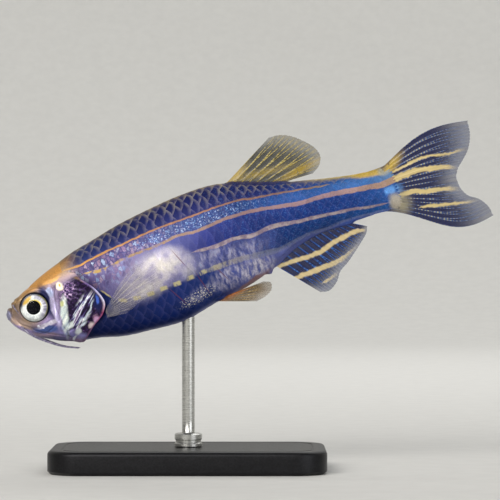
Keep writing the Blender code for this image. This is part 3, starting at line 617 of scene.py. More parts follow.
# Hues of the belly, and of the field above each stripe, from head to tail
BELLY_HUES = ((0.20, "#0a1a4e"), (0.36, "#0c2260"), (0.48, "#122a68"), (0.56, "#4c5494"), (0.66, "#5f66a8"),
              (0.78, "#3f4f92"), (0.90, "#2c50a0"), (1.0, "#4f66a4"))
FIELD_HUES = (
    ("straw", ((0.22, "#453f72"), (0.31, "#767094"), (0.42, "#565883"), (0.50, "#333b74"), (0.60, "#434980"),
               (0.68, "#0c2e6c"), (0.80, "#0a3474"), (0.92, "#124684"))),
    ("rose", ((0.22, "#463e6a"), (0.32, "#6b658c"), (0.42, "#3e4176"), (0.50, "#232c70"), (0.60, "#142668"),
              (0.72, "#0a2a6e"), (0.86, "#0e3276"), (0.95, "#1e4a8a"))),
    ("copper", ((0.20, "#2c2450"), (0.36, "#302c62"), (0.46, "#1c2e68"), (0.56, "#122864"), (0.66, "#143a78"),
                (0.78, "#1c4888"), (0.90, "#305e98"), (0.96, "#5a7aa0"))),
    ("gold", ((0.18, "#222e60"), (0.30, "#18225a"), (0.50, "#161c56"), (0.66, "#1a225e"), (0.76, "#203a7e"),
              (0.86, "#285492"), (0.95, "#5e7e9e"))),
)
NAPE_HUES = ((0.0, "#8a6c40"), (0.14, "#b88a4c"), (0.24, "#ac9070"), (0.34, "#8d7c94"))
HEAD_HUES = NAPE_HUES + ((0.6, "#8f80ac"), (0.8, "#6d6a9c"), (0.9, "#75617c"), (1.0, "#665872"))
PLATE_HUES = ((0.0, "#2e2650"), (0.3, "#56446c"), (0.5, "#765c76"), (0.75, "#877482"), (0.88, "#687da2"),
              (1.0, "#9aa6bc"))
# Hues of the blue sparks of crystal, from dark to pale: the palest are painted glints
SPARK_AND_GLINT_HUES = ((0.0, "#132050"), (0.45, "#1b3870"), (0.62, "#365a92"), (0.78, "#6486b2"), (0.9, "#93a6c4"),
              (1.0, "#c0c4d4"))
PEARL_HUES = ((0.28, "#7f789c"), (0.42, "#a49db6"), (0.5, "#c4bdc6"), (0.6, "#d2cbc4"), (0.72, "#efebe4"))
SILVER_HUES = ((0.3, "#42487c"), (0.44, "#6a6c98"), (0.54, "#9492ac"), (0.64, "#beb9c8"), (0.74, "#98a9c6"))
STRAW_HUES = ((0.22, "#b5aa74"), (0.47, "#b4ac84"), (0.54, "#968f8c"), (0.62, "#7c8090"), (0.78, "#7a80a0"))
COPPER_HUES = ((0.18, "#a58848"), (0.30, "#866c44"), (0.42, "#7f6654"), (0.60, "#806666"), (0.80, "#8a7076"),
               (0.95, "#9c806c"))
GOLD_HUES = ((0.16, "#bd8638"), (0.30, "#a0703e"), (0.45, "#8a6048"), (0.70, "#806056"), (0.85, "#8e7c62"))
VIOLET_HUES = ((0.4, "#120822"), (0.54, "#1e0d34"), (0.65, "#43285e"), (0.74, "#84699e"))
SPECK_HUES = ((0.38, "#150a26"), (0.47, "#33204e"), (0.54, "#6b4c80"), (0.61, "#a98cae"), (0.7, "#e2d4e4"))
FOIL_HUES = ((0.40, "#1c0f30"), (0.45, "#54437e"), (0.49, "#a6b0c6"), (0.54, "#eef4f0"), (0.59, "#b29ac4"),
             (0.66, "#231440"))
MINT_HUES = ((0.35, "#98a2ba"), (0.5, "#cddad8"), (0.65, "#f6faf2"))
EDGING_HUES = ((0.0, "#7c5680"), (0.3, "#a04a74"), (0.42, "#d9b8cc"), (0.55, "#dcd6ee"), (0.85, "#b9b4e0"),
               (1.0, "#5d4a80"))

# Ovals of pigment in millimetres: centre, radii, tilt in degrees, hue and, where it isn't full, cover
ORANGE_STRIP = (((22.9, -4.6), (1.9, 0.35), 16, "#8a5a34", 0.7),)
VESSELS = (
    ((17.0, -0.3), (1.0, 0.05), -66, "#5f3348", 0.7), ((18.4, -3.2), (1.2, 0.05), -74, "#5f3348", 0.7),
    ((15.8, -3.6), (1.1, 0.05), -60, "#5f3348", 0.7), ((20.4, -2.9), (0.8, 0.05), -62, "#5f3348", 0.7),
)
TAIL_ROOT = (
    ((36.4, 1.74), (1.7, 0.3), -8, "#bfa044", 0.9), ((38.0, 1.55), (0.6, 0.4), 0, "#a8a898", 0.8),
    ((37.9, -0.38), (0.5, 0.4), 0, "#5f95d4", 0.9), ((38.1, -1.7), (0.65, 0.85), 0, "#aaa08c", 0.9),
)
HEAD_PATCHES = (
    ((1.5, -0.2), (2.0, 2.1), 20, "#84705f"), ((1.5, 1.0), (0.9, 0.4), 30, "#9c7e58"),
    ((0.9, -1.6), (1.2, 0.42), -45, "#b59d90"), ((2.6, -3.1), (1.5, 0.35), -20, "#8f7a90"),
    ((-0.1, -0.4), (0.36, 0.6), -20, "#7b7a94"), ((0.8, -1.95), (1.2, 0.22), -40, "#9484b8"),
    ((4.4, 1.98), (2.7, 0.55), 14, "#cc9450"), ((4.9, 1.5), (0.95, 0.2), 7, "#e0aa68"),
    ((3.9, -0.2), (0.5, 1.6), 4, "#23264f"), ((3.1, -2.7), (1.35, 0.36), -13, "#46568f"),
    ((3.5, -2.22), (1.15, 0.2), 4, "#c6c0d0"), ((4.44, -1.0), (0.27, 1.75), -4, "#c9c0e2"),
    ((4.5, 0.5), (0.3, 0.42), 0, "#c0caee"), ((3.0, -3.75), (2.0, 0.35), -16, "#4d4a6c"),
)
COVER_SPOTS = (
    ((7.2, -2.45), (1.5, 0.09), 47, "#b9c4cf"), ((5.4, -3.1), (0.5, 0.2), 40, "#d4ddda"),
    ((5.56, 0.76), (0.36, 0.34), 0, "#ecdcc4"), ((5.63, 0.82), (0.12, 0.14), 0, "#dc9a4c"),
    ((5.2, -0.85), (0.2, 0.24), 0, "#c6c890"), ((5.89, -3.8), (0.32, 0.26), 20, "#cdd3d6"),
    ((5.37, -4.28), (0.32, 0.12), 30, "#c3c6d2"), ((8.42, -1.8), (0.36, 0.85), -10, "#161a4c"),
    ((8.55, -1.5), (0.14, 0.45), -14, "#4463c4"), ((7.92, -3.35), (0.34, 0.5), 20, "#b08aac"),
    ((7.25, -3.6), (0.34, 0.3), 30, "#c3b2b4"), ((7.9, 0.62), (0.85, 0.2), -28, "#80622e"),
    ((2.43, -2.12), (0.15, 0.1), -20, "#dedce6"), ((2.75, -2.42), (0.13, 0.09), -20, "#d8d6e2"),
)


class Skin(Finish):
    """Skin of the fish, with the places and the noise that its markings share."""

    def __init__(self, name):
        super().__init__(name)
        self.place = self.fish_place()
        self.x = self.add("SeparateXYZ", {0: self.place})
        self.z = self.x.node.outputs[2]
        self.girth = self.mark("girth")
        # Noise a millimetre across bends every border, and grains of 0.12 mm are the pigment cells
        warp = self.add("TexNoise", {"Vector": self.place, "Scale": 1.1, "Detail": 3.0}, out=1)
        shift = self.add("VectorMath", {0: warp, 1: (-0.5, -0.5, -0.5)}, operation="ADD")
        self.bent = self.add("VectorMath", {0: shift, 1: (0.55, 0.55, 0.55), 2: self.place},
                             operation="MULTIPLY_ADD")
        self.grain = self.add("TexNoise", {"Vector": self.place, "Scale": 8.0, "Detail": 2.0})
        self.cloud = self.add("TexNoise", {"Vector": self.place, "Scale": 0.7, "Detail": 3.0})

    def wet(self, colour, shade=None):
        """Pigment under a clear coat of slime. Crystal and dark pigment both shine a little like foil."""
        grains = {"Value": self.grain, "From Min": 0.3, "From Max": 0.7}
        speckle = self.add("MapRange", {**grains, "To Min": 0.86, "To Max": 1.14})
        if shade:
            speckle = self.where(speckle, shade)
        return self.surface({
            "Base Color": self.add("VectorMath", {0: colour, "Scale": speckle}, operation="SCALE"),
            "Roughness": self.add("MapRange", {**grains, "To Min": 0.36, "To Max": 0.5}),
            "Normal": self.add("Bump", {"Strength": 0.25, "Distance": 0.00003, "Height": self.grain}),
            "Metallic": 0.36, "IOR": 1.36, "Specular IOR Level": 0.35,
            "Coat Weight": 0.12, "Coat Roughness": 0.1, "Coat IOR": 1.34})


def lay_fields(skin):
    """Places the stripes, and lays the hues of the belly and of each field above a stripe."""
    skin.along = skin.add("Math", {0: skin.x, 1: RAMP_LENGTH}, operation="DIVIDE")
    skin.wobble = skin.add("TexNoise", {"Vector": skin.place, "Scale": 1.6, "Detail": 2.0})
    wavy_z = skin.add("Math", {0: skin.wobble, 1: 0.22, 2: skin.z}, operation="MULTIPLY_ADD")
    wavy_z = skin.add("Math", {0: wavy_z, 1: 0.11}, operation="SUBTRACT")
    skin.stripe = {}
    skin.above = {}
    for name, points, soft in (("gold", GOLD_LINE, 0.04), ("copper", COPPER_LINE, 0.04),
                               ("rose", ROSE_LINE, 0.05), ("straw", STRAW_LINE, 0.07)):
        skin.stripe[name], skin.above[name] = skin.line(skin.x, wavy_z, points, soft)
    field = skin.add("ValToRGB", {0: skin.along}, stops=BELLY_HUES)
    for name, hues in FIELD_HUES:
        hue = skin.add("ValToRGB", {0: skin.along}, stops=hues)
        field = skin.over(field, hue, skin.step(skin.above[name], -0.12, 0.12))
    return field


def lay_crystals(skin, field):
    """Pink and sky-blue plates of crystal between the two upper stripes, and blue sparks behind them whose
    palest hues are painted glints.

    A plate is 0.3 mm long and 0.5 mm tall and has a hue of its own. A spark is 0.12 mm across.
    """
    ripple = skin.add("TexNoise", {"Vector": skin.place, "Scale": 4.0, "Detail": 2.0}, out=1)
    rippled = skin.add("VectorMath", {0: ripple, 1: (0.22, 0.22, 0.22), 2: skin.place},
                       operation="MULTIPLY_ADD")
    stretched = skin.add("VectorMath", {0: rippled, 1: (1.0, 0.6, 0.62)}, operation="MULTIPLY")
    cells = {"Vector": stretched, "Scale": 3.0, "Randomness": 0.9}
    plate_hue = skin.add("SeparateColor", {0: skin.add("TexVoronoi", cells, out=1)})
    gap = skin.add("TexVoronoi", cells, feature="DISTANCE_TO_EDGE")
    speck = skin.add("TexVoronoi", {"Vector": rippled, "Scale": 8.0, "Randomness": 1.0}, out=1)
    spark_hue = skin.add("SeparateColor", {0: speck})

    skin.plates = skin.add("ValToRGB", {0: plate_hue}, stops=PLATE_HUES)
    skin.plate = skin.where(skin.step(gap, 0.0, 0.2), skin.step(skin.grain, 0.22, 0.5))
    copper, gold = skin.above["copper"], skin.above["gold"]
    between = skin.where(skin.step(copper, -0.1, 0.15), skin.step(gold, 0.0, -0.3))
    field = skin.over(field, skin.plates, skin.where(skin.plate, between, skin.step(skin.x, 20.0, 12.0)))
    # Blue sparks of crystal, their palest hues painted glints
    sparks_and_glints = skin.add("ValToRGB", {0: spark_hue}, stops=SPARK_AND_GLINT_HUES)
    between = skin.where(skin.step(copper, -0.3, 0.3), skin.step(gold, 0.1, -0.5))
    middle = skin.blot(skin.bent, (19.6, 2.5), (6.2, 1.6), 4, 0.35)
    field = skin.over(field, sparks_and_glints, skin.where(between, middle, skin.step(skin.grain, 0.4, 0.7)))
    dusted = skin.where(skin.step(skin.grain, 0.5, 0.72), skin.step(skin.x, 19.0, 24.0), 0.28)
    return skin.over(field, "#4a78b0", dusted)


def lay_pearl_and_silver(skin, field):
    """Pearly window of the body cavity, plates over its front, silver before the vent, and straw beads."""
    pearl = skin.add("ValToRGB", {0: skin.cloud}, stops=PEARL_HUES)
    field = skin.spots(field, skin.bent, (
        ((14.0, -1.0), (2.9, 1.6), 20, pearl, 0.7), ((16.6, -0.6), (1.8, 1.3), -30, pearl, 0.5),
        ((14.5, -0.35), (1.3, 0.8), 12, pearl, 0.9)), 0.45)
    copper = skin.above["copper"]
    below_copper = skin.where(skin.step(copper, 0.05, -0.25), skin.step(copper, -2.2, -0.9))
    in_front = skin.where(skin.step(skin.x, 14.0, 11.0), 0.85)
    field = skin.over(field, skin.plates, skin.where(skin.plate, below_copper, in_front))

    upright = skin.add("VectorMath", {0: skin.bent, 1: (2.6, 1.0, 0.9)}, operation="MULTIPLY")
    skin.wash = skin.add("TexNoise", {"Vector": upright, "Scale": 1.3, "Detail": 4.0})
    silver = skin.add("ValToRGB", {0: skin.wash}, stops=SILVER_HUES)
    field = skin.spots(field, skin.bent, (
        ((21.0, -3.4), (1.9, 0.95), 8, silver, 0.75), ((23.4, -3.35), (1.6, 0.8), 12, silver, 1.0),
        ((24.8, -3.6), (0.9, 0.9), 30, silver, 0.6), ((17.8, -4.0), (1.2, 0.6), 10, silver, 0.45),
        ((20.2, -1.2), (2.2, 0.8), 4, silver, 0.45), ((23.0, -1.5), (2.0, 0.7), 4, silver, 0.45)),
        0.45, skin.step(skin.wash, 0.3, 0.5))
    dots = skin.add("TexNoise", {"Vector": skin.place, "Scale": 8.0, "Detail": 1.0})
    low = skin.blot(skin.bent, (17.6, -4.2), (1.8, 0.5), 12, 0.4)
    return skin.over(field, "#cfcbb4", skin.where(skin.step(dots, 0.55, 0.63), low, 0.85))


def lay_stripes(skin, field):
    """Stripes from the lowest up. The lowest is broken into dashes in front."""
    beat = skin.add("Math", {0: skin.x, 1: 2 * math.pi / DASH_PITCH,
                             2: -2 * math.pi * FIRST_DASH / DASH_PITCH}, operation="MULTIPLY_ADD")
    beat = skin.add("Math", {0: beat}, operation="COSINE")
    dashes = skin.add("Math", {0: skin.step(beat, -0.6, 0.5), 1: skin.step(skin.x, 18.5, 20.5)},
                      operation="MAXIMUM")
    worn = skin.add("MapRange", {"Value": skin.x, "From Min": 18.0, "From Max": 28.0,
                                 "To Min": 0.95, "To Max": 0.45})
    straw = skin.where(skin.stripe["straw"], dashes, skin.step(skin.wash, 0.25, 0.5), worn)
    field = skin.over(field, skin.add("ValToRGB", {0: skin.along}, stops=STRAW_HUES), straw)
    field = skin.over(field, "#827280", skin.stripe["rose"])
    pale_edge = skin.where(skin.stripe["rose"], skin.step(skin.wobble, 0.42, 0.6), 0.7)
    field = skin.over(field, "#a89c98", pale_edge)
    unbroken = skin.add("Math", {0: skin.step(skin.wobble, 0.38, 0.54), 1: skin.step(skin.x, 12.0, 18.0)},
                        operation="MAXIMUM")
    copper = skin.where(skin.stripe["copper"], unbroken)
    field = skin.over(field, skin.add("ValToRGB", {0: skin.along}, stops=COPPER_HUES), copper)
    return skin.over(field, skin.add("ValToRGB", {0: skin.along}, stops=GOLD_HUES), skin.stripe["gold"])


def lay_scale_edges(skin, field):
    """Hind edges of the scales: pale on the back, fading downwards, olive on its ridge, faint elsewhere."""
    rim = skin.mark("rim")
    edge = skin.step(rim, 0.76, 1.0)
    mottled = skin.step(skin.wobble, 0.3, 0.62)
    above_gold = skin.step(skin.above["gold"], 0.0, 0.5)
    field = skin.over(field, "#5d5a8c", skin.where(edge, above_gold, 0.35))
    field = skin.over(field, "#837d78", skin.where(edge, skin.step(skin.girth, 0.3, 0.1), mottled))
    near_edge = skin.add("MapRange", {"Value": rim, "From Min": 0.7, "From Max": 0.96,
                                      "To Min": 0.25, "To Max": 0.9})
    crest = skin.where(skin.step(skin.girth, 0.12, 0.02), near_edge, skin.step(mottled, -0.8, 0.9))
    field = skin.over(field, "#927f4e", crest)
    tail_top = skin.where(skin.step(skin.x, 28.0, 34.0), skin.step(skin.girth, 0.2, 0.06))
    field = skin.over(field, "#b09c5c", tail_top)
    below_gold = skin.step(skin.above["gold"], 0.1, -0.4)
    return skin.over(field, "#7f7cb0", skin.where(edge, below_gold, 0.08))


def lay_small_marks(skin, field):
    """Lavender rim of the belly, orange strip before the vent, blood vessels, and root of the tail fin."""
    lavender = skin.add("MapRange", {"Value": skin.x, "From Min": 22.0, "From Max": 29.0,
                                     "To Min": 0.7, "To Max": 0.15})
    field = skin.over(field, "#5c5f9c", skin.where(skin.step(skin.girth, 0.86, 0.97), lavender))
    field = skin.spots(field, skin.bent, ORANGE_STRIP, 0.4)
    field = skin.spots(field, skin.place, VESSELS, 0.6)
    return skin.spots(field, skin.bent, TAIL_ROOT, 0.45)


def flank_finish():
    """Skin and scales of the trunk: stripes of pigment, and guanine crystals that shine like foil."""
    skin = Skin("striped_guanine_scales")
    colour = lay_fields(skin)
    for lay in (lay_crystals, lay_pearl_and_silver, lay_stripes, lay_scale_edges, lay_small_marks):
        colour = lay(skin, colour)
    nape = skin.add("ValToRGB", {0: skin.girth}, stops=NAPE_HUES)
    nape_end = skin.add("Math", {0: skin.step(skin.x, 5.7, 8.2), 1: skin.step(skin.girth, 0.24, 0.34)},
                        operation="MAXIMUM")
    shade = skin.add("MapRange", {"Value": skin.mark("tint"), "To Min": 0.88, "To Max": 1.12})
    return skin.wet(skin.over(nape, colour, nape_end), shade)


def head_finish():
    """Scaleless skin of the head, from the orange skull down to the throat and back to the gill opening."""
    skin = Skin("wet_head_skin")
    head = skin.add("ValToRGB", {0: skin.girth}, stops=HEAD_HUES)
    head = skin.spots(head, skin.bent, HEAD_PATCHES, 0.4, skin.step(skin.cloud, -0.1, 0.5))

    # Gill cover: dark violet with pink specks above, streaks of foil across it, mint down its front edge
    cover = skin.where(skin.blot(skin.bent, (7.0, -1.7), (2.05, 2.75), 10, 0.1), skin.step(skin.x, 4.75, 5.0))
    flecks = skin.add("TexNoise", {"Vector": skin.place, "Scale": 5.0, "Detail": 4.0, "Roughness": 0.65})
    head = skin.over(head, skin.add("ValToRGB", {0: flecks}, stops=VIOLET_HUES), cover)
    specks = skin.add("ValToRGB", {0: flecks}, stops=SPECK_HUES)
    head = skin.spots(head, skin.bent, (((5.85, 0.2), (1.05, 0.85), 20, specks),), 0.5, cover)
    slanting = skin.add("VectorRotate", {"Vector": skin.place, "Angle": math.radians(42)},
                        rotation_type="Y_AXIS")
    drawn_out = skin.add("VectorMath", {0: slanting, 1: (0.5, 0.6, 3.4)}, operation="MULTIPLY")
    streaks = skin.add("TexNoise", {"Vector": drawn_out, "Scale": 1.0, "Detail": 4.0, "Distortion": 0.25})
    foil = skin.add("ValToRGB", {0: streaks}, stops=FOIL_HUES)
    mint = skin.add("ValToRGB", {0: streaks}, stops=MINT_HUES)
    head = skin.spots(head, skin.bent, (((6.75, -2.15), (2.0, 0.72), 42, foil),), 0.3, cover)
    shining = (((5.12, -2.1), (0.36, 1.75), -12, mint), ((6.75, -2.05), (1.7, 0.1), 40, foil)) + COVER_SPOTS
    head = skin.spots(head, skin.bent, shining, 0.4)
    down = skin.add("MapRange", {"Value": skin.z, "From Min": -4.0, "From Max": 0.0})
    edging = skin.add("ValToRGB", {0: down}, stops=EDGING_HUES)
    return skin.wet(skin.over(head, edging, skin.where(skin.mark("hem"), 0.9)))


# Bands of the fins as x, height and half width in millimetres, and ovals of colour at their roots
ANAL_BANDS = (
    ((20.0, -4.1, 0.0), (24.6, -4.1, 0.0), (25.4, -3.98, 0.16), (26.8, -3.87, 0.19), (28.3, -3.91, 0.2),
     (29.9, -3.82, 0.22), (31.2, -3.41, 0.22), (32.4, -3.2, 0.22), (33.6, -3.05, 0.18), (34.6, -3.26, 0.12),
     (36.0, -3.4, 0.0)),
    ((20.0, -5.5, 0.0), (26.2, -5.45, 0.0), (26.7, -5.43, 0.18), (27.5, -5.4, 0.22), (28.6, -5.38, 0.24),
     (29.8, -5.31, 0.24), (31.0, -5.23, 0.22), (31.8, -5.05, 0.2), (32.6, -4.73, 0.16), (33.5, -4.33, 0.1),
     (34.5, -4.0, 0.0)),
    ((20.0, -6.8, 0.0), (28.6, -6.75, 0.0), (29.4, -6.65, 0.12), (30.4, -6.4, 0.14), (31.2, -6.1, 0.08),
     (32.0, -5.9, 0.0)),
)
CAUDAL_BANDS = (
    ((36.5, 0.42, 0.1), (37.7, 0.44, 0.26), (39.0, 0.52, 0.3), (40.7, 0.61, 0.27), (42.1, 0.39, 0.25),
     (43.5, 0.08, 0.22), (44.6, -0.35, 0.16), (45.8, -0.6, 0.1)),
    ((36.5, -1.6, 0.0), (37.7, -1.58, 0.2), (38.6, -1.15, 0.22), (39.6, -1.13, 0.22), (41.0, -1.53, 0.22),
     (42.4, -1.79, 0.21), (43.3, -2.0, 0.2), (44.5, -2.4, 0.15), (45.8, -2.8, 0.1)),
    ((37.0, -2.6, 0.0), (39.4, -2.74, 0.0), (40.5, -2.87, 0.12), (41.9, -3.18, 0.14), (43.3, -3.49, 0.14),
     (44.7, -3.75, 0.12), (45.9, -3.88, 0.08)),
    ((36.5, 1.0, 0.0), (38.6, 1.2, 0.08), (39.9, 1.35, 0.14), (41.5, 1.58, 0.12), (42.5, 1.56, 0.1),
     (43.4, 1.31, 0.12), (44.3, 1.14, 0.1), (45.1, 1.13, 0.1), (45.9, 1.07, 0.06)),
)
DORSAL_BLUSH = (((26.5, 5.0), (3.0, 0.3), -4, "#8c7834"), ((24.5, 5.5), (1.2, 0.3), 26, "#b8a05c"),
                ((30.4, 4.1), (2.4, 0.3), 10, "#9c8228"))
CAUDAL_BLUSH = (((38.6, 1.75), (1.3, 0.42), 34, "#c0a246"), ((38.4, -0.45), (0.5, 0.4), 0, "#5f95d4"),
                ((38.5, -1.9), (0.8, 0.9), 0, "#8f8870"))
HIP_BLUSH = (((21.6, -4.75), (2.2, 0.3), 14, "#b0651f"),)


def fin_finish(name, web, ray_hue, cover, fade, bands=(), band_hue="", blush=(), bead_hue="#a39a70"):
    """Clear fin web on bony rays, stained by pigment cells in bands that run across the rays."""
    fin = Finish(name)
    place = fin.fish_place()
    x = fin.add("SeparateXYZ", {0: place})
    z = x.node.outputs[2]
    ray = fin.mark("ray")
    reach = fin.mark("reach")
    joint = fin.mark("joint")
    mottle = fin.add("TexNoise", {"Vector": place, "Scale": 3.0, "Detail": 3.0})
    wobble = fin.add("TexNoise", {"Vector": place, "Scale": 2.2, "Detail": 1.0})
    wavy_z = fin.add("Math", {0: wobble, 1: 0.3, 2: z}, operation="MULTIPLY_ADD")
    wavy_z = fin.add("Math", {0: wavy_z, 1: 0.15}, operation="SUBTRACT")
    core = fin.step(ray, 0.5, 0.98)
    colour = fin.over(linear(web), ray_hue, fin.where(core, fin.step(mottle, 0.25, 0.6)))
    beads = fin.where(core, fin.step(joint, 0.35, 0.75), fin.step(mottle, 0.34, 0.56))
    colour = fin.over(colour, bead_hue, fin.where(beads, fin.step(reach, 0.95, 0.4)))

    # The web is nearly clear, and each band or blush covers it more
    opened = fin.add("Math", {0: ray, 1: 0.22, 2: cover}, operation="MULTIPLY_ADD")
    stains = []
    for points in bands:
        band = fin.line(x, wavy_z, points, 0.09)[0]
        stains.append((fin.where(band, fin.step(reach, 1.02, 0.8)), band_hue, 0.9))
    for centre, radii, tilt, hue in blush:
        spot = fin.where(fin.blot(place, centre, radii, tilt, 0.9), fin.step(mottle, 0.1, 0.5))
        stains.append((spot, hue, 0.85))
    for stain, hue, thickness in stains:
        colour = fin.over(colour, hue, stain)
        opened = fin.add("Math", {0: opened, 1: fin.where(stain, thickness)}, operation="MAXIMUM")
    margin = fin.add("MapRange", {"Value": reach, "From Min": 0.55, "From Max": 1.0,
                                  "To Min": 1.0, "To Max": fade}, interpolation_type="SMOOTHSTEP")
    return fin.surface({
        "Base Color": colour, "Alpha": fin.where(opened, margin), "Roughness": 0.3, "IOR": 1.38,
        "Coat Weight": 0.2, "Coat Roughness": 0.15})


def rays_of(u, v, rays, splits):
    """Height of the rays over the web: each ray forks in two at every split on its way to the margin."""
    spacing = 1 / (rays - 1)
    height = np.zeros(np.broadcast(u, v).shape)
    for ray in range(rays):
        offsets = [np.zeros_like(v)]
        for number, split in enumerate(splits if 0 < ray < rays - 1 else ()):
            arm = spacing * (0.25 / (number + 1)) * rise(v, split, split + 0.5) ** 0.8
            offsets = [offset + way * arm for offset in offsets for way in (-1, 1)]
        width = spacing * (0.17 - 0.09 * rise(v, 0.2, 0.9))
        for offset in offsets:
            height = np.maximum(height, hump(u - ray * spacing - offset, width))
    return height


def make_fin(name, root, margin, rays, rows, place, finish, slot, bow=0.0, skew=1.0, splits=(0.36, 0.66)):
    """A fin as one thin closed sheet, rooted in the flesh, with forked and jointed rays."""
    columns = (rays - 1) * RAY_COLUMNS + 1
    u = np.linspace(0, 1, columns)[None, :]
    v = np.linspace(-SUNK_ROOT, 1, rows)[:, None]
    outward = np.clip(v, 0, 1)
    ray = rays_of(u, outward, rays, splits)
    start = root(u[0])
    chord = margin(u[0]) - start
    length = np.linalg.norm(chord, axis=1)
    square = np.stack((-chord[:, 1], chord[:, 0]), axis=1) / length[:, None]
    bulge = bow * (1 - u) ** 1.5 * np.sin(math.pi * outward ** skew)
    reach = v * (1 - RAGGED * (1 - ray) * outward ** 3)
    plane = start + chord * reach[..., None] + square * bulge[..., None]
    joint = 0.5 + 0.5 * np.cos(2 * math.pi * outward * length[None, :] / MM / JOINT_STEP)
    joint = joint * rise(outward, 0.18, 0.3)
    full = WEB + (RAY - RAY_TAPER * outward - WEB) * ray * (1 - 0.3 * joint)
    flesh = FLESH * np.exp(-np.maximum(v, 0) / 0.035)
    hidden_end = rise(v, -0.1, -0.01)
    thick = (full * (1 - 0.55 * outward ** 6) + flesh) * hidden_end * MM
    grid = place(plane[..., 0], plane[..., 1], v + 0 * u)
    sheets = []
    for side in (1, -1):
        sheet = grid.copy()
        sheet[..., 1] += side * thick / 2
        sheets.append(sheet)
    points = to_room(np.stack(sheets))
    marks = {"ray": np.stack((ray, ray)), "reach": np.stack((outward + 0 * u,) * 2),
             "joint": np.stack((joint, joint))}
    return new_piece(f"{name}_fine", points, sheet_faces(rows, columns), finish, slot, marks, (name,))


def make_median_fins():
    """Fins on the midline: back fin, anal fin and the two lobes of the tail fin."""
    dorsal = fin_finish("clear_olive_fin_web", "#26261c", "#a89448", 0.66, 0.45, blush=DORSAL_BLUSH,
                        bead_hue="#cdbd78")
    anal = fin_finish("navy_banded_anal_fin_web", "#0c1442", "#1c4a8c", 0.82, 0.4, ANAL_BANDS, "#c4b184",
                      bead_hue="#3a6cae")
    caudal = fin_finish("navy_banded_tail_fin_web", "#0c1444", "#3f5c8c", 0.84, 0.4, CAUDAL_BANDS, "#c9b47c",
                        CAUDAL_BLUSH, "#b3a878")

    def on_midline(x, z, v):
        return np.stack((x, 0 * x, z), axis=-1)

    def along_back(u):
        station = DORSAL_ROOT[0] + (DORSAL_ROOT[1] - DORSAL_ROOT[0]) * u
        return np.stack((station, back(station)), axis=-1)

    def along_belly(u):
        station = ANAL_ROOT[0] + (ANAL_ROOT[1] - ANAL_ROOT[0]) * u
        return np.stack((station, belly(station)), axis=-1)

    fins = (
        ("dorsal_fin", along_back, DORSAL_MARGIN, 9, 100, dorsal, 0.0, 1.0),
        ("anal_fin", along_belly, ANAL_MARGIN, 14, 90, anal, 0.0, 1.0),
        ("caudal_fin_upper", smooth_path(CAUDAL_UPPER_ROOT), CAUDAL_UPPER_MARGIN, 10, 140, caudal, 2.6, 1.1),
        ("caudal_fin_lower", smooth_path(CAUDAL_LOWER_ROOT), CAUDAL_LOWER_MARGIN, 9, 140, caudal, -3.3, 1.6),
    )
    for name, root, margin, rays, rows, finish, bow, skew in fins:
        make_fin(name, root, smooth_path(margin), rays, rows, on_midline, finish, "banded_fin", bow, skew)


def make_paired_fins():
    """Breast and belly fins, alike on both sides."""
    breast = fin_finish("clear_breast_fin_web", "#a29ca4", "#d6cfc4", 0.12, 0.5)
    hip = fin_finish("amber_belly_fin_web", "#5a4420", "#a0803a", 0.5, 0.35, blush=HIP_BLUSH)
    for word, side in (("left", -1), ("right", 1)):
        def by_flank(x, z, v):
            rest = flank(25.0, -6.0)
            lean = 0.25 + 1.3 * np.clip(v, -0.1, 1) + 2.6 * np.clip(v, 0, 1) ** 1.3
            return np.stack((x, side * (rest + lean), z), axis=-1)

        def by_belly(x, z, v):
            return np.stack((x, side * (1.9 + 2.6 * v), z), axis=-1)

        make_fin(f"pectoral_fin_{word}", smooth_path(PECTORAL_ROOT), smooth_path(PECTORAL_MARGIN), 10, 90,
                 by_flank, breast, "amber_fin", 0.5, 1.0, (0.5,))
        make_fin(f"pelvic_fin_{word}", smooth_path([(x, z + 1.0) for x, z in PELVIC_ROOT]),
                 smooth_path(PELVIC_MARGIN), 7, 80, by_belly, hip, "amber_fin", splits=(0.4,))


def scale_places():
    """Root of every scale as a station and a turn, with the station of the end of its bare part."""
    places = []
    station = FIRST_SCALE
    column = 0
    while station < 100.0:
        length = 2.5 - 0.6 * rise(station, 30.0, 95.0)
        turns = (np.arange(2 * SCALE_ROWS) + 0.5 * (column % 2)) / SCALE_ROWS
        for turn in (turns + 1) % 2 - 1:
            share = abs(turn)
            tip = station + 0.25 * length * math.cos(share * math.pi)
            on_fin = share < 0.01 and DORSAL_ROOT[0] - 1 < tip < DORSAL_ROOT[1] + 1
            on_fin = on_fin or share > 0.99 and ANAL_ROOT[0] - 1 < tip < ANAL_ROOT[1] + 1
            last = skin_end(share) + 0.3 - 6.0 * rise(abs(share - 0.5), 0.33, 0.43)
            if tip > gill_line(share) + 0.15 * length and tip < last and not on_fin:
                places.append((tip, turn, length))
        station += length / 2
        column += 1
    return np.array(places)


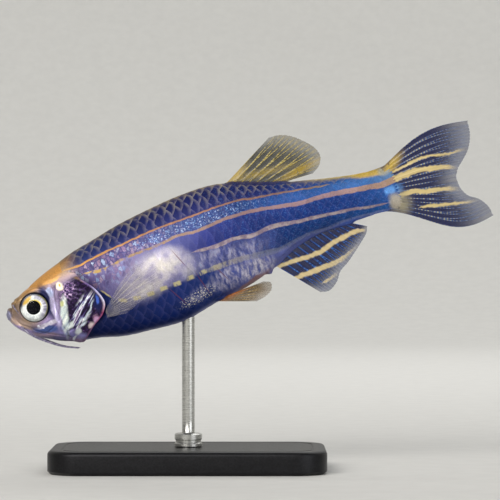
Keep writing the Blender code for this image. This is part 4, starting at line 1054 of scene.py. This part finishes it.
def make_scales(finish):
    """Overlapping scales on the trunk, each a thin curved plate that starts behind the gill opening."""
    draw = np.random.default_rng(7)
    places = scale_places()
    rows = 8
    columns = 10
    a = np.linspace(0, 1, rows)[None, :, None] ** 0.8
    b = np.linspace(-1, 1, columns)[None, None, :]
    tip, turn, length = (places[:, i][:, None, None] for i in range(3))
    jitter = draw.uniform(-1, 1, (4, len(places), 1, 1))
    whole = length * SCALE_LENGTH * (1 + 0.03 * jitter[0])
    half = SCALE_BREADTH / 2 / SCALE_ROWS * (1 + 0.03 * jitter[1])
    hind_edge = 0.27 * (np.abs(b) / 0.8) ** 1.8
    around = turn + half * b * (1 - 0.08 * a)
    girth = np.abs((around + 1) % 2 - 1)
    tip_x = tip + 0.05 * length * jitter[2] - whole * hind_edge
    root_x = tip + 0.05 * length * jitter[2] - whole
    on_nape = 5.0 * rise(girth, 0.31, 0.2)
    root_x = np.maximum(root_x, gill_line(girth) + 0.1 - on_nape)
    x = root_x + (np.maximum(tip_x, root_x + 0.05) - root_x) * a
    x = np.minimum(x, PROFILE[-1][0] - 0.5)
    lift = SCALE_LIFT * a * (1 - 0.25 * hind_edge) + 0.02 * (1 - b ** 2) * a + 0.006 * jitter[3] * a
    depth = SCALE_DEPTH + ROOT_DEPTH - lift + gill_hollow(x, girth)
    upper = body_points(x, around, depth - SCALE_THICKNESS * (1 - 0.7 * a ** 5))
    under = body_points(x, around, depth)
    points = np.stack((upper, under), axis=1)
    points[..., 1] *= sheath(x, girth)[:, None]
    faces = sheet_faces(rows, columns)
    marks = {"rim": np.broadcast_to(a, x.shape), "girth": girth,
             "tint": np.broadcast_to(draw.uniform(0, 1, (len(places), 1, 1)), x.shape)}
    for word, side in (("left", -1), ("right", 1)):
        chosen = np.sign(places[:, 1] + 1e-6) == side
        count = int(chosen.sum())
        all_faces = (faces[None] + (np.arange(count) * rows * columns * 2)[:, None, None]).reshape(-1, 4)
        own = {mark: np.repeat(values[chosen][:, None], 2, axis=1) for mark, values in marks.items()}
        piece = new_piece(f"scales_{word}", to_room(points[chosen]), all_faces, finish, "body_skin", own,
                          crease=math.radians(50))
        unwrap(piece, places[chosen], a, b)


def unwrap(piece, places, a, b):
    """The bake map: each scale is a patch at its root's place on the skin rolled out flat."""
    tip, turn, length = (places[:, i][:, None, None] for i in range(3))
    u = 0.02 + 0.96 * (tip - FIRST_SCALE) / (PROFILE[-1][0] - FIRST_SCALE) + PATCH[0] * (a - 0.5)
    v = 0.04 + 0.92 * np.abs(turn) + PATCH[1] * b / 2
    u, v = np.broadcast_arrays(u, v)
    flat = np.repeat(np.stack((u, v), axis=-1)[:, None], 2, axis=1).reshape(-1, 2)
    corners = np.zeros(len(piece.data.loops), dtype=np.int32)
    piece.data.loops.foreach_get("vertex_index", corners)
    layer = piece.data.uv_layers.new(name="OFBake")
    layer.uv.foreach_set("vector", flat[corners].astype(np.float32).ravel())


def make_skin(head, flank_skin):
    """One skin without a seam, with one finish on the head and another behind the gill covers."""
    grid, marks, head_rows = skin_grid()
    rows, around = grid.shape[:2]
    nodes = ("head", "lower_jaw", "gill_cover_left", "gill_cover_right", "shoulder_and_belly", "mid_body",
             "tail_stem")
    skin = new_piece("skin", to_room(grid), ring_faces(rows, around), head, "body_skin", marks, nodes)
    skin.data.materials.append(flank_skin)
    behind = np.array([min(polygon.vertices) // around >= head_rows for polygon in skin.data.polygons])
    skin.data.polygons.foreach_set("material_index", behind.astype(np.int32))


def lathe(profile, centre, side, around, lean=0.0):
    """A turned form about an axis across the fish: rings of radius and distance from the midline."""
    angle = np.linspace(0, 2 * math.pi, around, endpoint=False)
    rings = []
    for radius, out in profile:
        shift = lean * (1 - radius / EYE_RADIUS)
        rings.append(np.stack((centre[0] + shift + radius * np.cos(angle), side * out + 0 * angle,
                               centre[1] + radius * np.sin(angle)), axis=-1))
    return np.array(rings)


def eye_finishes():
    """Iris of silver guanine with violet streaks, a yellow arc and a dark rim widened by painted shade at the
    top and rear, black lens, and a clear cornea.
    """
    iris = Finish("silver_iris")
    place = iris.fish_place()
    centre = (EYE_CENTRE[0] / MM, 0, EYE_CENTRE[1] / MM)
    off = iris.add("VectorMath", {0: place, 1: centre}, operation="SUBTRACT")
    flat = iris.add("VectorMath", {0: off, 1: (1, 0, 1)}, operation="MULTIPLY")
    radius = iris.add("VectorMath", {0: flat}, out=1, operation="LENGTH")
    way = iris.add("VectorMath", {0: flat}, operation="NORMALIZE")
    fibres = iris.add("TexNoise", {"Vector": way, "Scale": 5.0, "Detail": 4.0})
    swirl = iris.add("TexNoise", {"Vector": flat, "Scale": 2.2, "Detail": 3.0, "Distortion": 1.0})
    side_x = iris.add("SeparateXYZ", {0: way})
    side_z = side_x.node.outputs[2]
    colour = iris.add("ValToRGB", {0: swirl}, stops=((0.3, "#c6cace"), (0.5, "#f0f5f0"), (0.7, "#ffffff")))
    streaked = iris.add("ValToRGB", {0: fibres}, stops=(
        (0.35, "#4a4566"), (0.5, "#9a93b0"), (0.62, "#d9d6df")))
    rear = iris.where(iris.step(side_x, 0.0, 0.6), iris.step(radius, 0.7, 0.95), 0.85)
    colour = iris.over(colour, streaked, rear)
    colour = iris.spots(colour, place, (((2.12, 0.52), (0.62, 0.3), 30, "#dcb02c", 0.95),), 0.35)
    # The dark arc over the iris's upper edge and the dark rim are the eye's own dark edge, deepened by
    # painted shade towards the top and rear
    for hue, ring, part in (
            ("#e8cf62", iris.step(radius, 0.78, 0.68), iris.step(side_z, -0.6, 0.4)),
            ("#1b2440", iris.step(radius, 1.02, 1.22), iris.step(side_z, -0.1, 0.5)),
            ("#8f8a3c", iris.step(radius, 1.12, 1.2), iris.step(side_x, 0.3, 0.8))):
        colour = iris.over(colour, hue, iris.where(ring, part))
    # Where the dark rim starts: further in towards the top and rear, where painted shade widens it
    shaded = iris.add("Math", {0: side_x, 1: side_z}, operation="ADD")
    shade_brim = iris.add("MapRange", {"Value": shaded, "From Min": -0.9, "From Max": 0.3,
                                 "To Min": 1.3, "To Max": 1.2})
    outside = iris.add("Math", {0: radius, 1: shade_brim}, operation="SUBTRACT")
    iris.surface({
        "Base Color": iris.over(colour, "#141a34", iris.step(outside, 0.0, 0.07)),
        "Normal": iris.add("Bump", {"Strength": 0.4, "Distance": 0.00004, "Height": fibres}),
        "Metallic": 0.05, "Roughness": 0.28})

    lens = Finish("black_lens")
    depth = lens.add("TexNoise", {"Vector": lens.fish_place(), "Scale": 1.5})
    lens.surface({
        "Base Color": lens.add("ValToRGB", {0: depth}, stops=((0.3, "#040406"), (0.7, "#0a0a12"))),
        "Roughness": 0.4, "Specular IOR Level": 0.05})

    # The cornea lets light straight through and mirrors a little of it, more at a slant
    cornea = Finish("clear_cornea")
    haze = cornea.add("TexNoise", {"Vector": cornea.fish_place(), "Scale": 2.0})
    cornea.surface({
        "Base Color": cornea.add("ValToRGB", {0: haze}, stops=((0.3, "#e6ecf2"), (0.7, "#f4f6f8"))),
        "Metallic": 1.0, "Roughness": 0.02})
    mirrored = cornea.add("Fresnel", {"IOR": 1.16})
    clear = cornea.add("BsdfTransparent")
    seen = cornea.add("MixShader", {0: mirrored, 1: clear, 2: cornea.shader.outputs[0]})
    cornea.tree.links.new(seen, cornea.tree.nodes["Material Output"].inputs["Surface"])
    return iris.material, lens.material, cornea.material


def make_eyes():
    """Eyeballs with iris and lens, each under a clear cornea."""
    iris, lens, cornea = eye_finishes()
    around = 96
    # Radius and distance from the midline in percent, from the lens in the pupil to the back of the ball
    dome = [(1.68 * math.sin(t), 4.36 + 0.5 * math.cos(t)) for t in np.linspace(0.04, math.pi / 2, 14)]
    rim_of_iris = [(1.74, 4.40), (1.80, 4.47), (1.92, 4.48)]
    slope = [(1.92 + (3.36 - 1.92) * t, 4.48 - 0.24 * t ** 2.5) for t in np.linspace(0.06, 1, 16)]
    ball = [(3.6 * math.cos(t), 3.5 - 2.3 * math.sin(t)) for t in np.linspace(0.0, 1.5, 10)]
    profile = dome + rim_of_iris + slope + [(3.5, 4.05)] + ball
    clear = np.linspace(0.03, 1.33, 22)
    dome_of_cornea = [(EYE_RADIUS * math.sin(t), EYE_OFFSET + EYE_HALF_DEPTH * math.cos(t)) for t in clear]
    hidden_back = [(EYE_RADIUS * share, EYE_OFFSET + 0.45) for share in (0.9, 0.5, 0.1)]
    for word, side in (("left", -1), ("right", 1)):
        grid = lathe(profile, EYE_CENTRE, side, around, -0.42)
        eyeball = new_piece(f"eyeball_{word}", to_room(grid), ring_faces(len(profile), around), iris, "eye",
                            replaces=(f"eye_{word}",))
        eyeball.data.materials.append(lens)
        middle = np.array([polygon.vertices[0] // around < len(dome) for polygon in eyeball.data.polygons])
        eyeball.data.polygons.foreach_set("material_index", middle.astype(np.int32))
        shell = dome_of_cornea + hidden_back
        grid = lathe(shell, EYE_CENTRE, side, around)
        new_piece(f"cornea_{word}", to_room(grid), ring_faces(len(shell), around), cornea, "eye")


def make_barbels():
    """Feelers at the corners of the mouth and on the snout: soft skin that tapers to a point."""
    feeler = Finish("soft_mauve_feeler_skin")
    place = feeler.fish_place()
    mottle = feeler.add("TexNoise", {"Vector": place, "Scale": 4.0, "Detail": 3.0})
    hue = feeler.add("ValToRGB", {0: mottle}, stops=((0.3, "#4c4a66"), (0.5, "#6f6884"), (0.7, "#988fa4")))
    feeler.surface({"Base Color": hue, "Roughness": 0.32, "Coat Weight": 0.3})
    around = 20
    angle = np.linspace(0, 2 * math.pi, around, endpoint=False)[None, :, None]
    for name, points, thick in (("mouth_barbel", MOUTH_BARBEL, 0.34), ("snout_barbel", SNOUT_BARBEL, 0.19)):
        for word, side in (("left", -1), ("right", 1)):
            t = np.linspace(0, 1, 70)
            path = smooth_path(points)(t)
            root_x, root_z, root_y = points[0]
            out = path[:, 2] - (root_y - flank(root_x, root_z) + 0.15) * np.exp(-t * 6)
            path = np.stack((path[:, 0], side * out, path[:, 1]), axis=1)
            ahead = np.gradient(path, axis=0)
            ahead /= np.linalg.norm(ahead, axis=1, keepdims=True)
            first = np.cross(ahead, (0, 1, 0))
            first /= np.linalg.norm(first, axis=1, keepdims=True)
            second = np.cross(ahead, first)
            taper = (1 - 0.7 * t) * (1 - 0.8 * rise(t, 0.97, 1.0))
            rings_of_skin = 1 + 0.05 * np.sin(60 * t)
            radius = thick * taper * rings_of_skin
            ring = first[:, None] * np.cos(angle) + second[:, None] * np.sin(angle)
            grid = path[:, None] + radius[:, None, None] * ring
            new_piece(f"{name}_{word}_fine", to_room(grid), ring_faces(len(t), around), feeler.material,
                      "barbel", replaces=(f"{name}_{word}",))


def turned(profile, centre, around):
    """Rings of radius and height about an upright axis, in metres."""
    angle = np.linspace(0, 2 * math.pi, around, endpoint=False)
    x, y = np.cos(angle), np.sin(angle)
    return np.array([np.stack((centre + radius * x, radius * y, height + 0 * x), axis=-1)
                     for radius, height in profile])


def make_stand():
    """A black anodised plate and a brushed steel rod in a collar, up to the belly."""
    plate = Finish("black_anodised_aluminium")
    spot = plate.add("TexCoord", out=3)
    # Blasted grit of 0.06 mm under the anodised layer, drawn at 0.15 mm so that it shows
    grit = plate.add("TexNoise", {"Vector": spot, "Scale": 6600.0, "Detail": 2.0})
    plate.surface({
        "Base Color": plate.add("ValToRGB", {0: grit}, stops=((0.35, "#141416"), (0.65, "#1d1d20"))),
        "Roughness": plate.add("MapRange", {"Value": grit, "To Min": 0.34, "To Max": 0.5}),
        "Normal": plate.add("Bump", {"Strength": 0.3, "Distance": 0.00002, "Height": grit}),
        "Metallic": 0.7})

    steel = Finish("brushed_steel")
    spot = steel.add("TexCoord", out=3)
    # Brushed while it turned: lines 0.04 mm wide that run round the rod, a little coarser than real ones
    drawn = steel.add("VectorMath", {0: spot, 1: (900.0, 900.0, 26000.0)}, operation="MULTIPLY")
    brushing = steel.add("TexNoise", {"Vector": drawn, "Scale": 1.0, "Detail": 3.0})
    steel.surface({
        "Base Color": steel.add("ValToRGB", {0: brushing}, stops=((0.3, "#a9a9a6"), (0.7, "#cfcfcb"))),
        "Roughness": steel.add("MapRange", {"Value": brushing, "To Min": 0.2, "To Max": 0.36}),
        "Metallic": 1.0})

    size = np.array(base_high - base_low)[:2]
    height = base_high.z
    corner, edge, chamfer = 0.003, 0.0004, 0.0003
    quarter = np.linspace(0, math.pi / 2, 14)
    outline = []
    for start, sx, sy in ((0, 1, 1), (1, -1, 1), (2, -1, -1), (3, 1, -1)):
        angle = quarter + start * math.pi / 2
        arc = corner * np.stack((np.cos(angle), np.sin(angle)), axis=1)
        outline.append(np.array((sx, sy)) * (size / 2 - corner) + arc)
    outline = np.roll(np.concatenate(outline), len(quarter), axis=0)
    groove_outside, groove_inside, groove_slope, groove_depth = 0.0012, 0.00145, 0.00005, 0.00006
    levels = [(chamfer, 0.0), (0.0, chamfer)]
    levels += [(edge * (1 - math.cos(t)), height - edge + edge * math.sin(t))
               for t in np.linspace(0, math.pi / 2, 6)]
    levels += [(groove_outside, height), (groove_outside + groove_slope, height - groove_depth),
               (groove_inside - groove_slope, height - groove_depth), (groove_inside, height)]
    rings = []
    for inset, level in levels:
        rings.append(np.column_stack((outline * (1 - 2 * inset / size), np.full(len(outline), level))))
    grid = np.array(rings)
    grid[..., 0] += (base_low.x + base_high.x) / 2
    new_piece("base_plate", grid, ring_faces(len(levels), len(outline)), plate.material, "base",
              replaces=("stand_base",), crease=math.radians(40))

    foot = base_high.z
    rod, collar, bevel = 0.0006, 0.0013, 0.0001
    top = rod_high.z + 0.00035
    shoulder = foot + 0.0014
    profile = [(collar - bevel, foot), (collar, foot + bevel), (collar, foot + 0.00035),
               (collar - bevel, foot + 0.00045), (collar - bevel, foot + 0.00065), (collar, foot + 0.00075),
               (collar, foot + 0.0012), (collar - 0.00015, foot + 0.0013), (rod + 0.00008, foot + 0.0013),
               (rod, shoulder)]
    profile += [(rod, shoulder + (top - shoulder - bevel) * t) for t in np.linspace(0.1, 1, 10)]
    profile += [(rod - bevel, top)]
    new_piece("steel_rod", turned(profile, rod_x, 48), ring_faces(len(profile), 48), steel.material, "rod",
              replaces=("stand_rod",), crease=math.radians(40))


def make_studio():
    """A pale floor that sweeps up all round into a wall, with broad soft lights and the camera."""
    paper = Finish("pale_matt_paper")
    spot = paper.add("TexCoord", out=3)
    # Tooth of 0.2 mm in the paper, drawn at 2.5 mm, because a finer one wouldn't show
    tooth = paper.add("TexNoise", {"Vector": spot, "Scale": 400.0, "Detail": 2.0})
    hue = paper.add("ValToRGB", {0: tooth}, stops=((0.3, "#d4d3cf"), (0.7, "#d8d7d3")))
    paper.surface({"Base Color": hue, "Roughness": 0.9})
    sweep, wall, tall = 0.35, 0.6, 0.9
    profile = [(0.002, 0.0), (0.1, 0.0), (0.22, 0.0)]
    profile += [(sweep + (wall - sweep) * math.sin(t), (wall - sweep) * (1 - math.cos(t)))
                for t in np.linspace(0, math.pi / 2, 24)]
    profile += [(wall, tall)]
    grid = turned(profile, 0.0, 96)
    faces = ring_faces(len(profile), 96)[:(len(profile) - 1) * 96]
    faces.append(list(range(96)))
    floor = new_piece("studio_floor", grid, faces, paper.material, None)

    for name, place, size, power, hue in (
            ("key", (-0.14, -0.30, 0.20), (0.26, 0.2), 1.25, (1.0, 0.98, 0.95)),
            ("fill", (0.26, -0.26, 0.10), (0.24, 0.24), 0.45, (0.95, 0.97, 1.0)),
            ("rim", (0.10, 0.26, 0.30), (0.3, 0.16), 0.30, (1.0, 1.0, 1.0)),
            ("backdrop", (0.0, 0.12, 0.32), (0.5, 0.1), 0.9, (1.0, 1.0, 1.0))):
        light = bpy.data.lights.new(name, "AREA")
        light.shape = "RECTANGLE"
        light.size, light.size_y = size
        light.energy = power
        light.color = hue
        lamp = bpy.data.objects.new(name, light)
        lamp.location = place
        target = (0.0, 0.5, 0.12) if name == "backdrop" else (0.0, 0.0, 0.018)
        aim = np.array(target) - np.array(place)
        lamp.rotation_euler = look_along(aim)
        lamp.visible_camera = False
        bpy.context.scene.collection.objects.link(lamp)

    world = bpy.data.worlds.new("studio_air")
    world.use_nodes = True
    world.node_tree.nodes["Background"].inputs[0].default_value = (0.9, 0.93, 1.0, 1.0)
    world.node_tree.nodes["Background"].inputs[1].default_value = 0.26
    bpy.context.scene.world = world
    bpy.context.scene.view_settings.view_transform = "Standard"

    # The picture is 500 points wide and high, and each covers 0.09447 mm of the fish's side view
    points_across = 500
    point = 0.00009447
    frame_width = points_across * point
    snout_column, snout_row = 8.0, 312.0
    camera = bpy.data.cameras.new("camera")
    camera.lens = 200.0
    camera.sensor_width = 36.0
    camera.clip_start = 0.005
    camera.clip_end = 5.0
    eye = bpy.data.objects.new("camera", camera)
    distance = frame_width * camera.lens / camera.sensor_width
    eye.location = (SNOUT_X + (points_across / 2 - snout_column) * point, -distance,
                    SNOUT_HEIGHT + (snout_row - points_across / 2) * point)
    eye.rotation_euler = (math.pi / 2, 0, 0)
    bpy.context.scene.collection.objects.link(eye)
    bpy.context.scene.camera = eye


def look_along(aim):
    """Turn of a lamp or camera that makes it face a direction."""
    length = np.linalg.norm(aim)
    return (math.acos(-aim[2] / length), 0, math.atan2(-aim[0], aim[1]))


def main():
    flank_skin = flank_finish()
    make_skin(head_finish(), flank_skin)
    make_scales(flank_skin)
    make_median_fins()
    make_paired_fins()
    make_eyes()
    make_barbels()
    make_stand()
    make_studio()


main()
